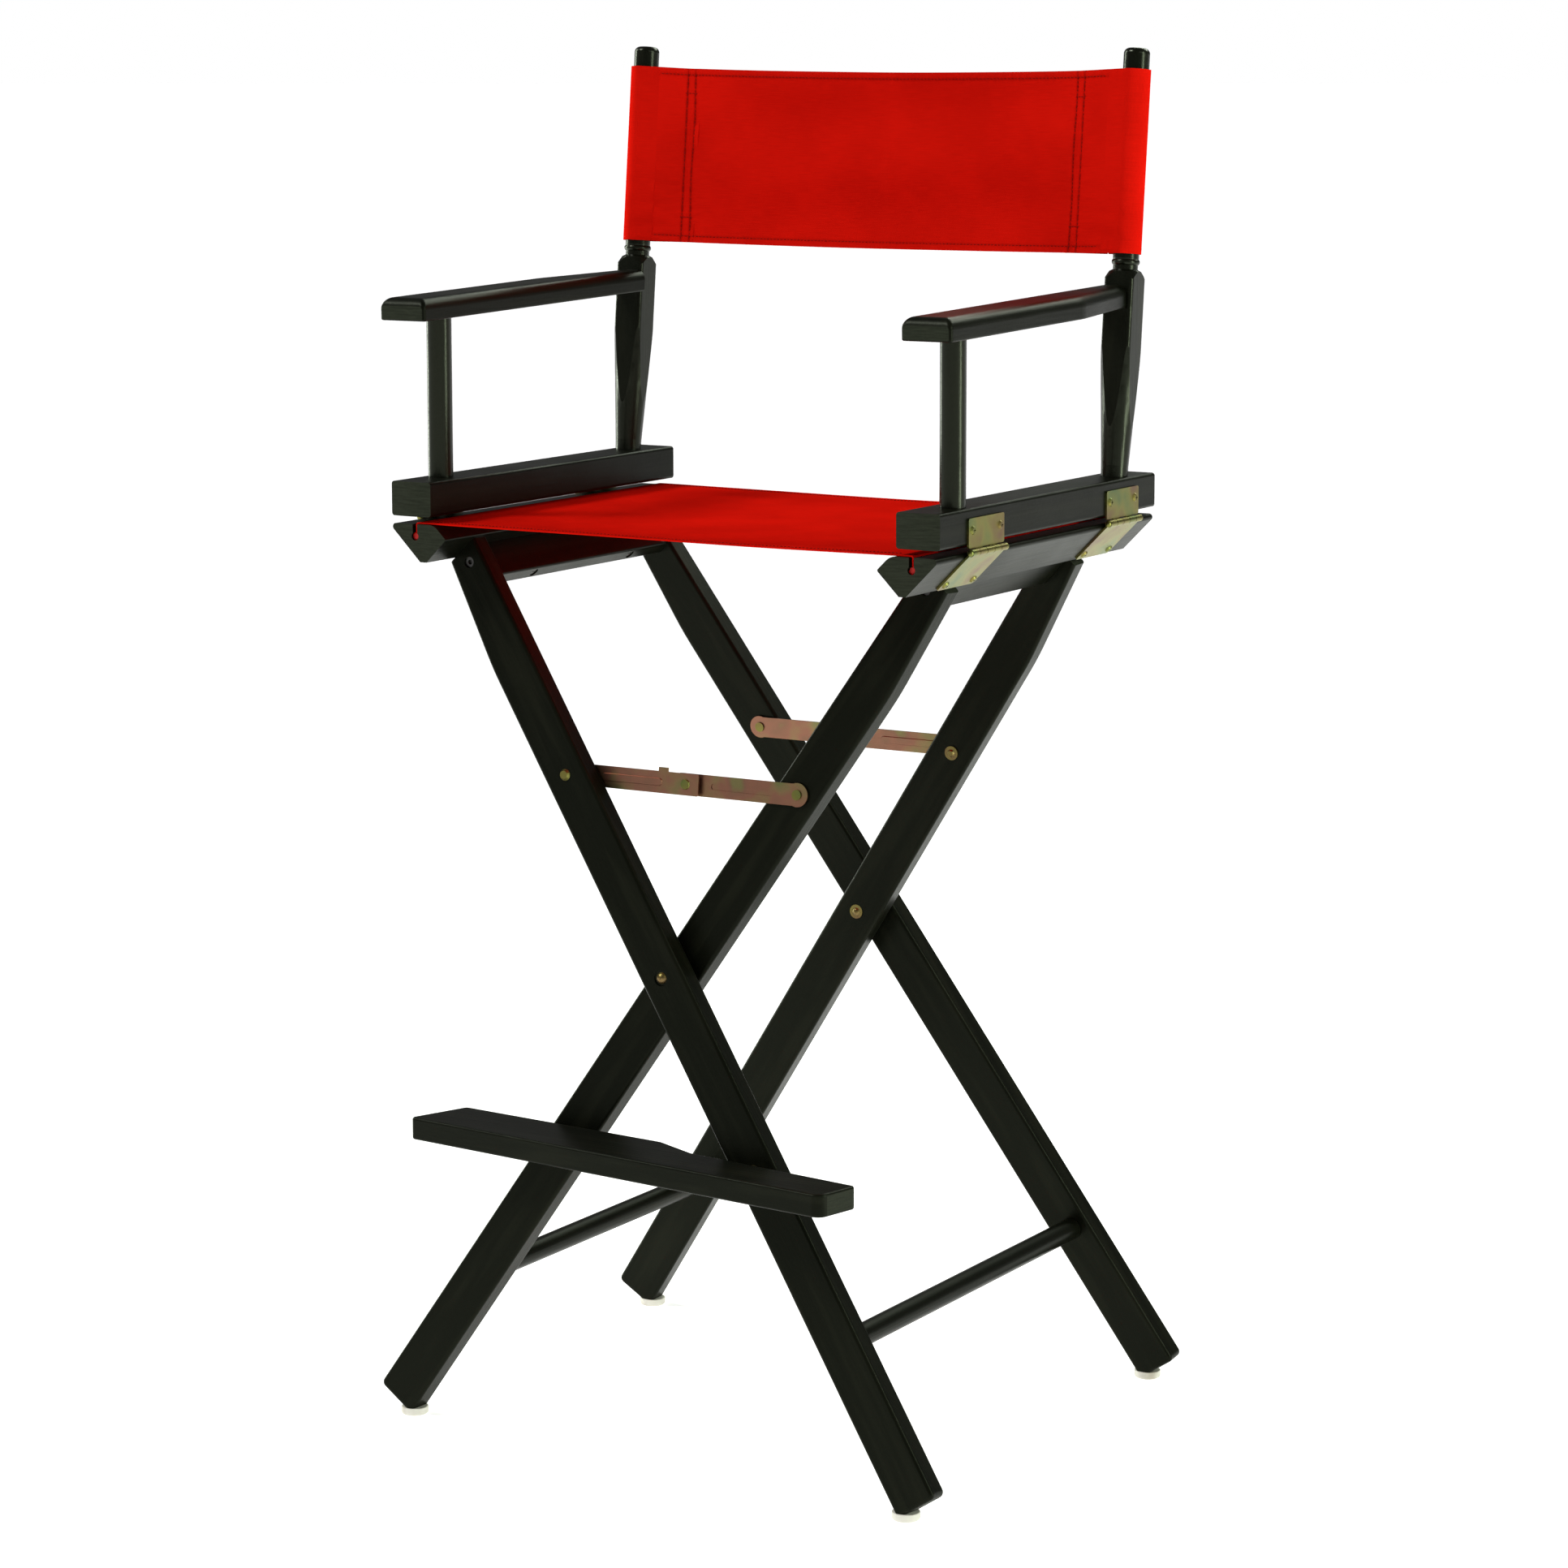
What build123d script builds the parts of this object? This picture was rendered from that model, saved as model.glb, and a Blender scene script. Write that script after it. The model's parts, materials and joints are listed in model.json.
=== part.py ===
"""A tall folding director chair: two crossed leg frames, hinged arms, canvas seat and back, footrest.

X runs to the right as seen from the front, Y runs to the back, Z is up.  The origin is on the floor in
the middle of the whole chair.  The outer frame stands on its right feet and carries the
left seat rail; the inner frame, between its legs, is its mirror image.
"""

from build123d import *
import os
from math import asin, cos, hypot, sin, sqrt

os.makedirs("parts", exist_ok=True)

# ------------------------------------------------------------------------------ driving sizes, mm
LEFT, RIGHT = -1, 1
FRONT, REAR = -1, 1

legs_middle_y = 19.0          # the legs stand a little behind the middle, because of the footrest
splay = 0.109                 # how far a leg face leans in, per millimetre of height
slant = hypot(1.0, splay)     # length along a splayed face, per millimetre of height
running_gap = 0.05            # radial clearance of every turning pin

leg_thickness = 20.4
leg_half_width = 23.4         # measured level, across a leaning board
leg_run = 0.667               # sideways travel of a leg, per millimetre of height
leg_floor_x = 270.6           # where a leg's centreline would meet the floor
neck_z, neck_run = 643.0, 0.553
neck_radius = 300.0
leg_edge_radius = 3.0
outer_face_y = 228.5          # the outward face of the outer legs, at the floor
inner_face_y = 200.5          # the outward face of the inner legs, at the floor
leg_gap = (outer_face_y - inner_face_y) / slant - leg_thickness
glide_radius, glide_height = 11.5, 6.5
glide_x = 248.0

cross_z = leg_floor_x / leg_run - 1.0
bolt_radius = 3.0

rail_x, rail_z = 227.2, 732.8      # the lower edge of a seat rail
rail_half_length = 190.0
rail_top_z = rail_z + 31.5
slot_x, slot_z, slot_width, slot_bulb_radius = 235.2, 754.1, 4.5, 3.4

board_length, board_thickness = 34.0, 14.0      # the board under each seat rail, in section
board_inset = 0.7
leg_bolt_x, leg_bolt_z = 209.7, 729.8
leg_bolt_hole, leg_bolt_counterbore, bolt_head_seat = 2.6, 4.6, 6.5

stretcher_radius, stretcher_z, stretcher_socket = 9.5, 130.0, 8.0

brace_x, brace_z = 103.5, 559.0
link_half_height, link_thickness, link_standoff = 9.0, 1.3, 1.0
link_pivot_radius = 9.8
rib_middle_x, rib_length, rib_width, rib_height = 51.2, 58.5, 6.5, 0.7

arm_x_in, arm_x_out = 220.5, 259.5
arm_z_low, arm_z_high = 770.4, 799.2
arm_half_length = 189.5
post_radius, front_post_x, front_post_y = 10.5, 244.0, -139.3
tenon_radius, tenon_clearance = 6.9, 0.1
armrest_x_in, armrest_x_out = 224.2, 268.9
armrest_front_y, armrest_low_z, armrest_thickness = -188.3, 931.8, 18.8
armrest_rise = 0.025
chair_height = 1155.0
rear_post_x, rear_post_top_y, rear_post_lean = 242.0, 183.7, 0.101
dowel_radius, square_side, collar_radius = 11.0, 27.0, 11.5

hinge_x, hinge_z, barrel_radius, hinge_pin_radius = 262.6, 764.5, 3.0, 1.6
hinge_length, hinge_knuckles, knuckle_gap = 59.0, 5, 0.3
leaf_thickness = 1.6
hinge_middles = (-114.5, 126.0)
hinge_screw_offsets = (-22.7, 23.0)
screw_head_radius, screw_shank_radius, screw_length = 3.8, 1.7, 15.0

footrest_low_z, footrest_high_z = 249.5, 268.5
footrest_pivot_z = 259.0

canvas = 1.4                   # thickness of a canvas layer
seat_half_depth, seat_sag = 188.0, 6.0
seat_rod_radius = 2.4
back_low_z, back_high_z, back_stitch_x = 984.0, 1136.7, 192.0


# ------------------------------------------------------------------------------ shared construction
def finish(piece, name):
    """Label a finished piece and write its STEP file."""
    piece.part.label = name
    export_step(piece.part, f"parts/{name}.step")


def side_name(side):
    """The word for a side of the chair."""
    return "left" if side == LEFT else "right"


def end_name(end):
    """The word for an end of the chair."""
    return "front" if end == FRONT else "rear"


def face_plane(end, face_y, height=0.0):
    """A leg's outward face: local X across the chair, local Y up the lean, normal outwards."""
    return Plane(
        origin=(0, legs_middle_y + end * (face_y - splay * height), height),
        x_dir=(-end, 0, 0),
        z_dir=(0, end, splay),
    )


def along_y_plane(y):
    """An upright plane across the chair at y: local X is X, local Y is Z, normal to the front."""
    return Plane(origin=(0, y, 0), x_dir=(1, 0, 0), z_dir=(0, -1, 0))


def face_y_at(face_y, height):
    """How far a splayed face stands from the legs' middle at a height."""
    return face_y - splay * height


def outline(points, radii):
    """A closed outline through the points, with a round corner of each radius."""
    with BuildLine() as line:
        FilletPolyline(*points, radius=radii, close=True)
    return line.line


def rail_point(side, across, up):
    """A point of the seat rail's section, measured outwards and up from the rail's lower edge."""
    return (side * (rail_x + across), rail_z + up)


def drill(points, radius, y_from, y_to):
    """Cut holes along Y at (x, z) points out of the piece being built."""
    with BuildSketch(along_y_plane(max(y_from, y_to))) as holes:
        with Locations(*points):
            Circle(radius)
    extrude(holes.sketch, amount=abs(y_to - y_from), mode=Mode.SUBTRACT)


def rod_along_y(x, z, radius, y_from, y_to):
    """Add a round bar along Y to the piece being built."""
    with BuildSketch(along_y_plane(max(y_from, y_to))) as disc:
        with Locations((x, z)):
            Circle(radius)
    extrude(disc.sketch, amount=abs(y_to - y_from))


def dome_along_y(x, z, radius, height, y_base, towards):
    """Add a domed head that stands on the plane y_base and bulges towards +Y or -Y."""
    ball_radius = (radius**2 + height**2) / (2 * height)
    centre_y = y_base + towards * (height - ball_radius)
    plane = Plane(origin=(x, 0, z), x_dir=(0, towards, 0), z_dir=(towards, 0, 0))
    with BuildSketch(plane) as half_dome:
        with BuildLine():
            start = (towards * y_base, 0)
            rim = (towards * y_base, radius)
            middle_angle = 0.5 * asin(radius / ball_radius)
            middle = (towards * centre_y + ball_radius * cos(middle_angle), ball_radius * sin(middle_angle))
            tip = (towards * y_base + height, 0)
            Line(start, rim)
            ThreePointArc(rim, middle, tip)
            Line(tip, start)
        make_face()
    revolve(half_dome.sketch, axis=Axis((x, 0, z), (0, 1, 0)))


# ------------------------------------------------------------------------------ leg frames
def build_leg(name, side, end, face_y):
    """One leg board.  side is the side it stands on; its top leans to the other side."""

    def on_face(x, z):
        return (-end * side * x, z * slant)

    foot_z = 24.0
    foot_x = leg_floor_x + leg_half_width - leg_run * foot_z
    foot_step = 2 * leg_half_width / (1 + leg_run**2)
    neck_x = leg_floor_x - leg_half_width - leg_run * neck_z
    above = 775.0
    points = [
        on_face(foot_x, foot_z),
        on_face(foot_x - foot_step, foot_z - leg_run * foot_step),
        on_face(neck_x, neck_z),
        on_face(neck_x - neck_run * (above - neck_z), above),
        on_face(leg_floor_x + leg_half_width - leg_run * above, above),
    ]
    top_cut = Plane(
        origin=(-side * rail_x, 0, rail_z - 3.2),
        x_dir=(0, 1, 0),
        z_dir=(-side, 0, 1),
    )
    out_y = legs_middle_y + end * face_y_at(face_y, cross_z)
    in_y = out_y - end * leg_thickness * slant
    with BuildPart() as leg:
        with BuildSketch(face_plane(end, face_y)):
            make_face(outline(points, [5.0, 0, neck_radius, 0, 0]).edges())
        extrude(amount=-leg_thickness)
        flat_edges = [edge for edge in leg.edges() if not on_both_faces(edge, end)]
        fillet(flat_edges, radius=leg_edge_radius)
        split(bisect_by=Plane(origin=(0, 0, glide_height), z_dir=(0, 0, 1)), keep=Keep.TOP)
        split(bisect_by=top_cut, keep=Keep.BOTTOM)
        # the crossing bolt's hole, with a level seat for its head or washer
        drill([(0, cross_z)], bolt_radius + running_gap, out_y + end * 10, in_y - end * 10)
        drill([(0, cross_z)], bolt_head_seat, out_y + end * 10, out_y - end * 0.8)
        drill([(0, cross_z)], bolt_head_seat, in_y + end * 0.8, in_y - end * 10)
        # the brace rivet's hole, square to the face
        with BuildSketch(brace_plane(end, -40)):
            with Locations((end * side * brace_x, 0)):
                Circle(2.5 + running_gap)
        extrude(amount=80, mode=Mode.SUBTRACT)
        # the stretcher's blind socket, opening inwards
        stretcher_x = side * (leg_floor_x - leg_run * stretcher_z)
        socket_y = legs_middle_y + end * (face_y_at(face_y, stretcher_z) - leg_thickness * slant)
        socket_end_y = socket_y + end * stretcher_socket
        drill([(stretcher_x, stretcher_z)], stretcher_radius + 0.1, socket_end_y, socket_y - end * 10)
        # the bolt into the board under the seat rail, with a counterbore
        bolt_point = (-side * leg_bolt_x, leg_bolt_z)
        bolt_y = legs_middle_y + end * face_y_at(face_y, leg_bolt_z)
        drill([bolt_point], leg_bolt_hole, bolt_y + end * 10, bolt_y - end * 40)
        drill([bolt_point], leg_bolt_counterbore, bolt_y + end * 10, bolt_y - end * 6)
        if name == "outer_leg_front":
            drill([footrest_pivot()], bolt_radius + running_gap, out_y - 60, out_y + 40)
        if name == "inner_leg_front":
            x, z = footrest_pivot()
            drill([(-x, z)], bolt_radius, out_y - 60, out_y + 40)
    finish(leg, name)


def on_both_faces(edge, end):
    """True for an edge that runs through the board's thickness."""
    direction = edge.tangent_at(0.5)
    return edge.geom_type == GeomType.LINE and abs(direction.dot(Vector(0, end, splay).normalized())) > 0.99


def footrest_pivot():
    """Where the footrest turns on the outer front leg, as (x, z)."""
    return (leg_floor_x - leg_run * footrest_pivot_z, footrest_pivot_z)


def build_seat_rail(side):
    """The moulded rail that grips one side of the seat; its lower faces lie at 45 degrees."""
    section = [(-3.2, 0), (3.0, 0), (34.5, 31.5), (-11.0, 31.5), (-23.0, 19.8)]
    radii = [0, 0.8, 3.0, 12.0, 1.5]
    points = [rail_point(side, *point) for point in section]
    y_low, y_high = legs_middle_y - rail_half_length, legs_middle_y + rail_half_length
    with BuildPart() as rail:
        with BuildSketch(along_y_plane(y_high)):
            make_face(outline(points, radii).edges())
        extrude(amount=y_high - y_low)
        with BuildSketch(along_y_plane(y_high)):
            with Locations((side * slot_x, slot_z)):
                Circle(slot_bulb_radius)
            with Locations((side * slot_x, slot_z + 10)):
                Rectangle(slot_width, 20)
        extrude(amount=y_high - y_low, mode=Mode.SUBTRACT)
        for plane in board_screw_planes(side):
            with BuildSketch(plane):
                Circle(2.2)
            extrude(amount=board_length + 10, mode=Mode.SUBTRACT)
        for plane in lower_screw_planes(side):
            with BuildSketch(plane):
                Circle(screw_shank_radius + 0.1)
            extrude(amount=-screw_length - 1, mode=Mode.SUBTRACT)
    finish(rail, f"seat_rail_{side_name(side)}")


def board_corners(side):
    """The section of the board under a seat rail: a rectangle that hangs at 45 degrees."""
    step = board_inset
    near = (-3.2 - step, step)
    far = (near[0] - board_thickness / sqrt(2), near[1] + board_thickness / sqrt(2))
    drop = board_length / sqrt(2)
    low_far = (far[0] - drop, far[1] - drop)
    low_near = (near[0] - drop, near[1] - drop)
    return [rail_point(side, *point) for point in (near, far, low_far, low_near)]


def board_span(side):
    """Half the board's length: the space between its own frame's legs."""
    face_y = outer_face_y if side == LEFT else inner_face_y
    return face_y - leg_thickness * slant


def board_screw_planes(side):
    """Planes on the board's lower edge where its two screws enter, with normals up the board."""
    corners = board_corners(side)
    x = (corners[2][0] + corners[3][0]) / 2
    z = (corners[2][1] + corners[3][1]) / 2
    return [
        Plane(origin=(x, legs_middle_y + y, z), x_dir=(0, 1, 0), z_dir=(side, 0, 1))
        for y in (-75.0, 75.0)
    ]


def build_board(side):
    """The board between the leg tops that the seat rail is screwed to."""
    span = board_span(side)
    with BuildPart() as board:
        with BuildSketch(along_y_plane(legs_middle_y + span)):
            make_face(outline(board_corners(side), [0, 0, 2.0, 2.0]).edges())
        extrude(amount=2 * span)
        for end in (FRONT, REAR):
            split(bisect_by=face_plane(end, span), keep=Keep.BOTTOM)
        for plane in board_screw_planes(side):
            with BuildSketch(plane):
                Circle(2.2)
            extrude(amount=board_length, mode=Mode.SUBTRACT)
            with BuildSketch(plane):
                Circle(4.3)
            extrude(amount=3.0, mode=Mode.SUBTRACT)
        bolt_point = (side * leg_bolt_x, leg_bolt_z)
        end_y = face_y_at(span, leg_bolt_z)
        for end in (FRONT, REAR):
            drill([bolt_point], 2.6, legs_middle_y + end * (end_y + 5), legs_middle_y + end * (end_y - 26))
    finish(board, f"under_board_{side_name(side)}")


def build_board_screws(side):
    """The two slotted screws that hold the seat rail to its board."""
    with BuildPart() as screws:
        for plane in board_screw_planes(side):
            with BuildSketch(plane.offset(1.0)):
                Circle(4.1)
            extrude(amount=1.8)
            with BuildSketch(plane.offset(1.0)):
                Circle(2.1)
            extrude(amount=board_length + 7)
            with BuildSketch(plane.offset(1.0)):
                Rectangle(7.0, 1.0)
            extrude(amount=0.8, mode=Mode.SUBTRACT)
    finish(screws, f"board_screws_{side_name(side)}")


def build_leg_bolts(side):
    """The recessed socket-head bolts from both leg tops into the board, with hexagon sockets."""
    face_y = outer_face_y if side == LEFT else inner_face_y
    with BuildPart() as bolts:
        for end in (FRONT, REAR):
            out_y = legs_middle_y + end * face_y_at(face_y, leg_bolt_z)
            head_y = out_y - end * 1.6
            rod_along_y(side * leg_bolt_x, leg_bolt_z, 4.4, head_y, out_y - end * 6)
            rod_along_y(side * leg_bolt_x, leg_bolt_z, 2.5, out_y - end * 6, out_y - end * 38)
            with BuildSketch(along_y_plane(max(head_y, head_y - end * 2.5))):
                with Locations((side * leg_bolt_x, leg_bolt_z)):
                    RegularPolygon(2.3, 6)
            extrude(amount=2.5, mode=Mode.SUBTRACT)
    finish(bolts, f"leg_bolts_{side_name(side)}")


def build_stretcher(side):
    """The dowel that joins one frame's two legs near the floor."""
    face_y = outer_face_y if side == RIGHT else inner_face_y
    half = face_y_at(face_y, stretcher_z) - leg_thickness * slant + stretcher_socket - 0.4
    x = side * (leg_floor_x - leg_run * stretcher_z)
    with BuildPart() as stretcher:
        rod_along_y(x, stretcher_z, stretcher_radius, legs_middle_y - half, legs_middle_y + half)
        chamfer(stretcher.edges().filter_by(GeomType.CIRCLE), 0.8)
    finish(stretcher, f"stretcher_{side_name(side)}")


def build_glides(side):
    """The two nylon glides under one frame's feet."""
    face_y = outer_face_y if side == RIGHT else inner_face_y
    y = face_y_at(face_y, glide_height) - leg_thickness * slant / 2
    with BuildPart() as glides:
        with BuildSketch():
            with Locations((side * glide_x, legs_middle_y - y), (side * glide_x, legs_middle_y + y)):
                Circle(glide_radius)
        extrude(amount=glide_height)
        fillet(glides.edges().group_by(Axis.Z)[0], 2.0)
        fillet(glides.edges().group_by(Axis.Z)[-1], 0.8)
    finish(glides, f"glides_{side_name(side)}")


def build_crossing_bolts():
    """The two bolts that the frames turn on: domed outside, riveted over a washer inside."""
    with BuildPart() as bolts:
        for end in (FRONT, REAR):
            out_y = legs_middle_y + end * (face_y_at(outer_face_y, cross_z) - 0.8)
            in_y = legs_middle_y + end * (face_y_at(inner_face_y, cross_z) - leg_thickness * slant + 0.7)
            rod_along_y(0, cross_z, bolt_radius, out_y, in_y)
            dome_along_y(0, cross_z, 4.9, 3.2, out_y, end)
            rod_along_y(0, cross_z, 6.2, in_y, in_y - end * 1.2)
            dome_along_y(0, cross_z, 3.6, 1.8, in_y - end * 1.2, -end)
    finish(bolts, "crossing_bolts")


def build_crossing_spacers():
    """The washers that keep the crossing legs apart, one at each end."""
    gap_out = face_y_at(outer_face_y, cross_z) - leg_thickness * slant + 0.7
    gap_in = face_y_at(inner_face_y, cross_z) - 0.7
    with BuildPart() as spacers:
        for end in (FRONT, REAR):
            y_a = legs_middle_y + end * gap_out
            y_b = legs_middle_y + end * gap_in
            rod_along_y(0, cross_z, 6.2, y_a, y_b)
            drill([(0, cross_z)], bolt_radius + running_gap, y_a + end, y_b - end)
    finish(spacers, "crossing_spacers")


# ------------------------------------------------------------------------------ folding braces
def brace_plane(end, outward):
    """A plane parallel to the leg faces, level with the brace, outward from the middle of the gap."""
    gap_middle_y = outer_face_y - (leg_thickness + leg_gap / 2) * slant
    return face_plane(end, gap_middle_y, brace_z).offset(outward)


def link_outward_face(side):
    """How far a brace link's outward face stands from the middle of the gap."""
    far_side = leg_gap / 2 - link_standoff
    return far_side if side == LEFT else link_thickness - far_side


def build_link(side, end):
    """One half of a folding brace: a pressed strip with a round pivot end and a square tail."""
    tail = 12.6 if side == LEFT else 9.0
    along = -side
    plane = brace_plane(end, link_outward_face(side))
    # the stiffening rib stands away from the other link, so that the two fold past each other
    raised = 0 if side == LEFT else -link_thickness
    with BuildPart() as link:
        with BuildSketch(plane):
            with Locations((-end * along * (tail - brace_x) / 2, 0)):
                Rectangle(brace_x + tail, 2 * link_half_height)
            with Locations((-end * side * brace_x, 0)):
                Circle(link_pivot_radius)
        extrude(amount=-link_thickness)
        corner_edges = link.edges().filter_by(lambda edge: is_tail_corner(edge, end, along * tail))
        fillet(corner_edges, 1.5)
        with BuildSketch(plane):
            with Locations((-end * side * brace_x, 0)):
                Circle(2.5 + running_gap)
            Circle(2.5)
        extrude(amount=-link_thickness, mode=Mode.SUBTRACT)
        with BuildSketch(plane.offset(raised)):
            with Locations((-end * side * rib_middle_x, 0)):
                SlotOverall(rib_length, rib_width)
        extrude(amount=-side * rib_height, taper=30)
        if side == RIGHT:
            with BuildSketch(plane):
                with Locations((-end * side * rib_middle_x, 0)):
                    SlotOverall(rib_length - 1.0, rib_width - 1.0)
            extrude(amount=-0.6, mode=Mode.SUBTRACT)
        if side == LEFT:
            with BuildSketch(plane):
                with Locations((end * 21.6, link_half_height + 1.6)):
                    Rectangle(9.0, 3.4)
            extrude(amount=-link_thickness)
    finish(link, f"brace_link_{side_name(side)}_{end_name(end)}")


def is_tail_corner(edge, end, tail_x):
    """True for a through-thickness edge at a link's square tail."""
    direction = edge.tangent_at(0.5)
    through = abs(direction.dot(Vector(0, end, splay).normalized())) > 0.99
    return through and abs(edge.center().X - tail_x) < 1.0


def build_middle_rivet(end):
    """The rivet at the middle of a brace, domed towards the outside."""
    plane = brace_plane(end, link_outward_face(LEFT))
    with BuildPart() as rivet:
        with BuildSketch(plane):
            Circle(4.4)
        extrude(amount=0.9, taper=30)
        with BuildSketch(plane):
            Circle(2.5)
        extrude(amount=-link_thickness)
    finish(rivet, f"middle_rivet_{end_name(end)}")


def build_brace_rivets(side):
    """The rivets that hold one side's brace links to the legs, with a spacer washer on each."""
    half_gap = leg_gap / 2
    # distances are outwards from the gap's middle for the left links, inwards for the right ones
    leg_far = half_gap + leg_thickness
    link_near = half_gap - link_standoff
    link_far = link_near - link_thickness
    with BuildPart() as rivets:
        for end in (FRONT, REAR):
            centre = (-end * side * brace_x, 0)
            stack = [
                (2.5, link_far - 0.2, leg_far),
                (5.0, link_near + 0.1, half_gap),
                (4.2, link_far - 1.2, link_far - 0.1),
            ]
            if side == RIGHT:
                stack.append((6.2, leg_far, leg_far + 1.2))
            for radius, low, high in stack:
                with BuildSketch(brace_plane(end, -side * low)):
                    with Locations(centre):
                        Circle(radius)
                extrude(amount=-side * (high - low))
            head_radius, head_base = (5.0, leg_far) if side == LEFT else (3.4, leg_far + 1.2)
            with BuildSketch(brace_plane(end, -side * head_base)):
                with Locations(centre):
                    Circle(head_radius)
            extrude(amount=-side * (head_radius * 0.45), taper=35)
    finish(rivets, f"brace_rivets_{side_name(side)}")


# ------------------------------------------------------------------------------ hinges
def leaf_lower_plane(side):
    """The seat rail's sloping outer face, with its origin in line with the hinge pin."""
    return Plane(
        origin=(side * hinge_x, legs_middle_y, rail_z + hinge_x - rail_x - 3.0),
        x_dir=(0, 1, 0),
        z_dir=(side, 0, -1),
    )


def lower_screw_planes(side):
    """Planes of the screws near the lower edge of each lower leaf."""
    base = leaf_lower_plane(side)
    planes = []
    for middle in hinge_middles:
        for offset_y in hinge_screw_offsets:
            origin = base.origin + base.x_dir * (middle + offset_y) + down_slope(side) * 38.0
            planes.append(Plane(origin=origin, x_dir=(0, 1, 0), z_dir=base.z_dir))
    return planes


def upper_screw_planes(side):
    """Planes of the screws in each upper leaf."""
    return [
        Plane(
            origin=(side * arm_x_out, legs_middle_y + middle + offset_y, 782.0),
            x_dir=(0, 1, 0),
            z_dir=(side, 0, 0),
        )
        for middle in hinge_middles
        for offset_y in hinge_screw_offsets
    ]


def down_slope(side):
    """Unit direction down the seat rail's sloping face."""
    return Vector(-side, 0, -1).normalized()


def knuckle_spans(middle, odd):
    """The stretches of barrel, in Y from the legs' middle, that one leaf of a hinge holds."""
    start, step = middle - hinge_length / 2, hinge_length / hinge_knuckles
    return [
        (start + i * step + knuckle_gap, start + (i + 1) * step - knuckle_gap)
        for i in range(hinge_knuckles)
        if (i % 2 == 1) == odd
    ]


def build_barrels(side, spans):
    """Add the knuckles on the hinge pin's axis to the leaf being built."""
    for low, high in spans:
        rod_along_y(side * hinge_x, hinge_z, barrel_radius, legs_middle_y + low, legs_middle_y + high)


def build_upper_leaves(side):
    """The hinge leaves screwed to one arm rail's outer face."""
    face = Plane(origin=(side * arm_x_out, legs_middle_y, 0), x_dir=(0, side, 0), z_dir=(side, 0, 0))
    low_z, high_z = hinge_z + barrel_radius + 0.5, 791.6
    with BuildPart() as leaves:
        for middle in hinge_middles:
            with BuildSketch(face):
                with Locations((side * middle, (low_z + high_z) / 2)):
                    RectangleRounded(hinge_length, high_z - low_z, 2.0)
            extrude(amount=leaf_thickness)
            spans = knuckle_spans(middle, True)
            for low, high in spans:
                with BuildSketch(face):
                    with Locations((side * (low + high) / 2, (hinge_z + low_z + 2.5) / 2)):
                        Rectangle(high - low, low_z + 2.5 - hinge_z)
                extrude(amount=leaf_thickness)
            build_barrels(side, spans)
        for plane in upper_screw_planes(side):
            with BuildSketch(plane):
                Circle(screw_shank_radius + 0.1)
            extrude(amount=leaf_thickness, mode=Mode.SUBTRACT)
        y_ends = (legs_middle_y + hinge_middles[0] - 40, legs_middle_y + hinge_middles[1] + 40)
        drill([(side * hinge_x, hinge_z)], hinge_pin_radius, *y_ends)
    finish(leaves, f"upper_leaves_{side_name(side)}")


def build_lower_leaves(side):
    """The hinge leaves on one seat rail's sloping face, which turn on the pins."""
    base = leaf_lower_plane(side)
    reach = 44.0
    start = barrel_radius + 1.2
    with BuildPart() as leaves:
        for middle in hinge_middles:
            centre = base.origin + base.x_dir * middle + down_slope(side) * (start + reach) / 2
            with BuildSketch(Plane(origin=centre, x_dir=(0, 1, 0), z_dir=base.z_dir)):
                RectangleRounded(hinge_length, reach - start, 2.0)
            extrude(amount=leaf_thickness)
            spans = knuckle_spans(middle, False)
            for low, high in spans:
                tab_middle = base.origin + base.x_dir * ((low + high) / 2)
                tab_centre = tab_middle + down_slope(side) * (start + 2) / 2
                with BuildSketch(Plane(origin=tab_centre, x_dir=(0, 1, 0), z_dir=base.z_dir)):
                    Rectangle(high - low, start + 2)
                extrude(amount=leaf_thickness)
            build_barrels(side, spans)
        for plane in lower_screw_planes(side):
            with BuildSketch(plane):
                Circle(screw_shank_radius + 0.1)
            extrude(amount=leaf_thickness, mode=Mode.SUBTRACT)
        y_ends = (legs_middle_y + hinge_middles[0] - 40, legs_middle_y + hinge_middles[1] + 40)
        drill([(side * hinge_x, hinge_z)], hinge_pin_radius + running_gap, *y_ends)
    finish(leaves, f"lower_leaves_{side_name(side)}")


def build_hinge_pins(side):
    """The two hinge pins of one side, each with a small domed head at both ends."""
    with BuildPart() as pins:
        for middle in hinge_middles:
            low = legs_middle_y + middle - hinge_length / 2 - 0.2
            high = legs_middle_y + middle + hinge_length / 2 + 0.2
            rod_along_y(side * hinge_x, hinge_z, hinge_pin_radius, low, high)
            dome_along_y(side * hinge_x, hinge_z, 2.8, 2.2, low, -1)
            dome_along_y(side * hinge_x, hinge_z, 2.8, 2.2, high, 1)
    finish(pins, f"hinge_pins_{side_name(side)}")


def build_leaf_screws(name, planes):
    """Round-head screws with a cross recess, through a leaf into the wood."""
    with BuildPart() as screws:
        for plane in planes:
            with BuildSketch(plane):
                Circle(screw_shank_radius)
            extrude(amount=leaf_thickness)
            with BuildSketch(plane):
                Circle(screw_shank_radius)
            extrude(amount=-screw_length)
            with BuildSketch(plane.offset(leaf_thickness)):
                Circle(screw_head_radius)
            extrude(amount=1.5, taper=40)
            with BuildSketch(plane.offset(leaf_thickness + 1.5)):
                Rectangle(3.6, 0.8)
                Rectangle(0.8, 3.6)
            extrude(amount=-0.9, mode=Mode.SUBTRACT)
    finish(screws, name)


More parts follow.
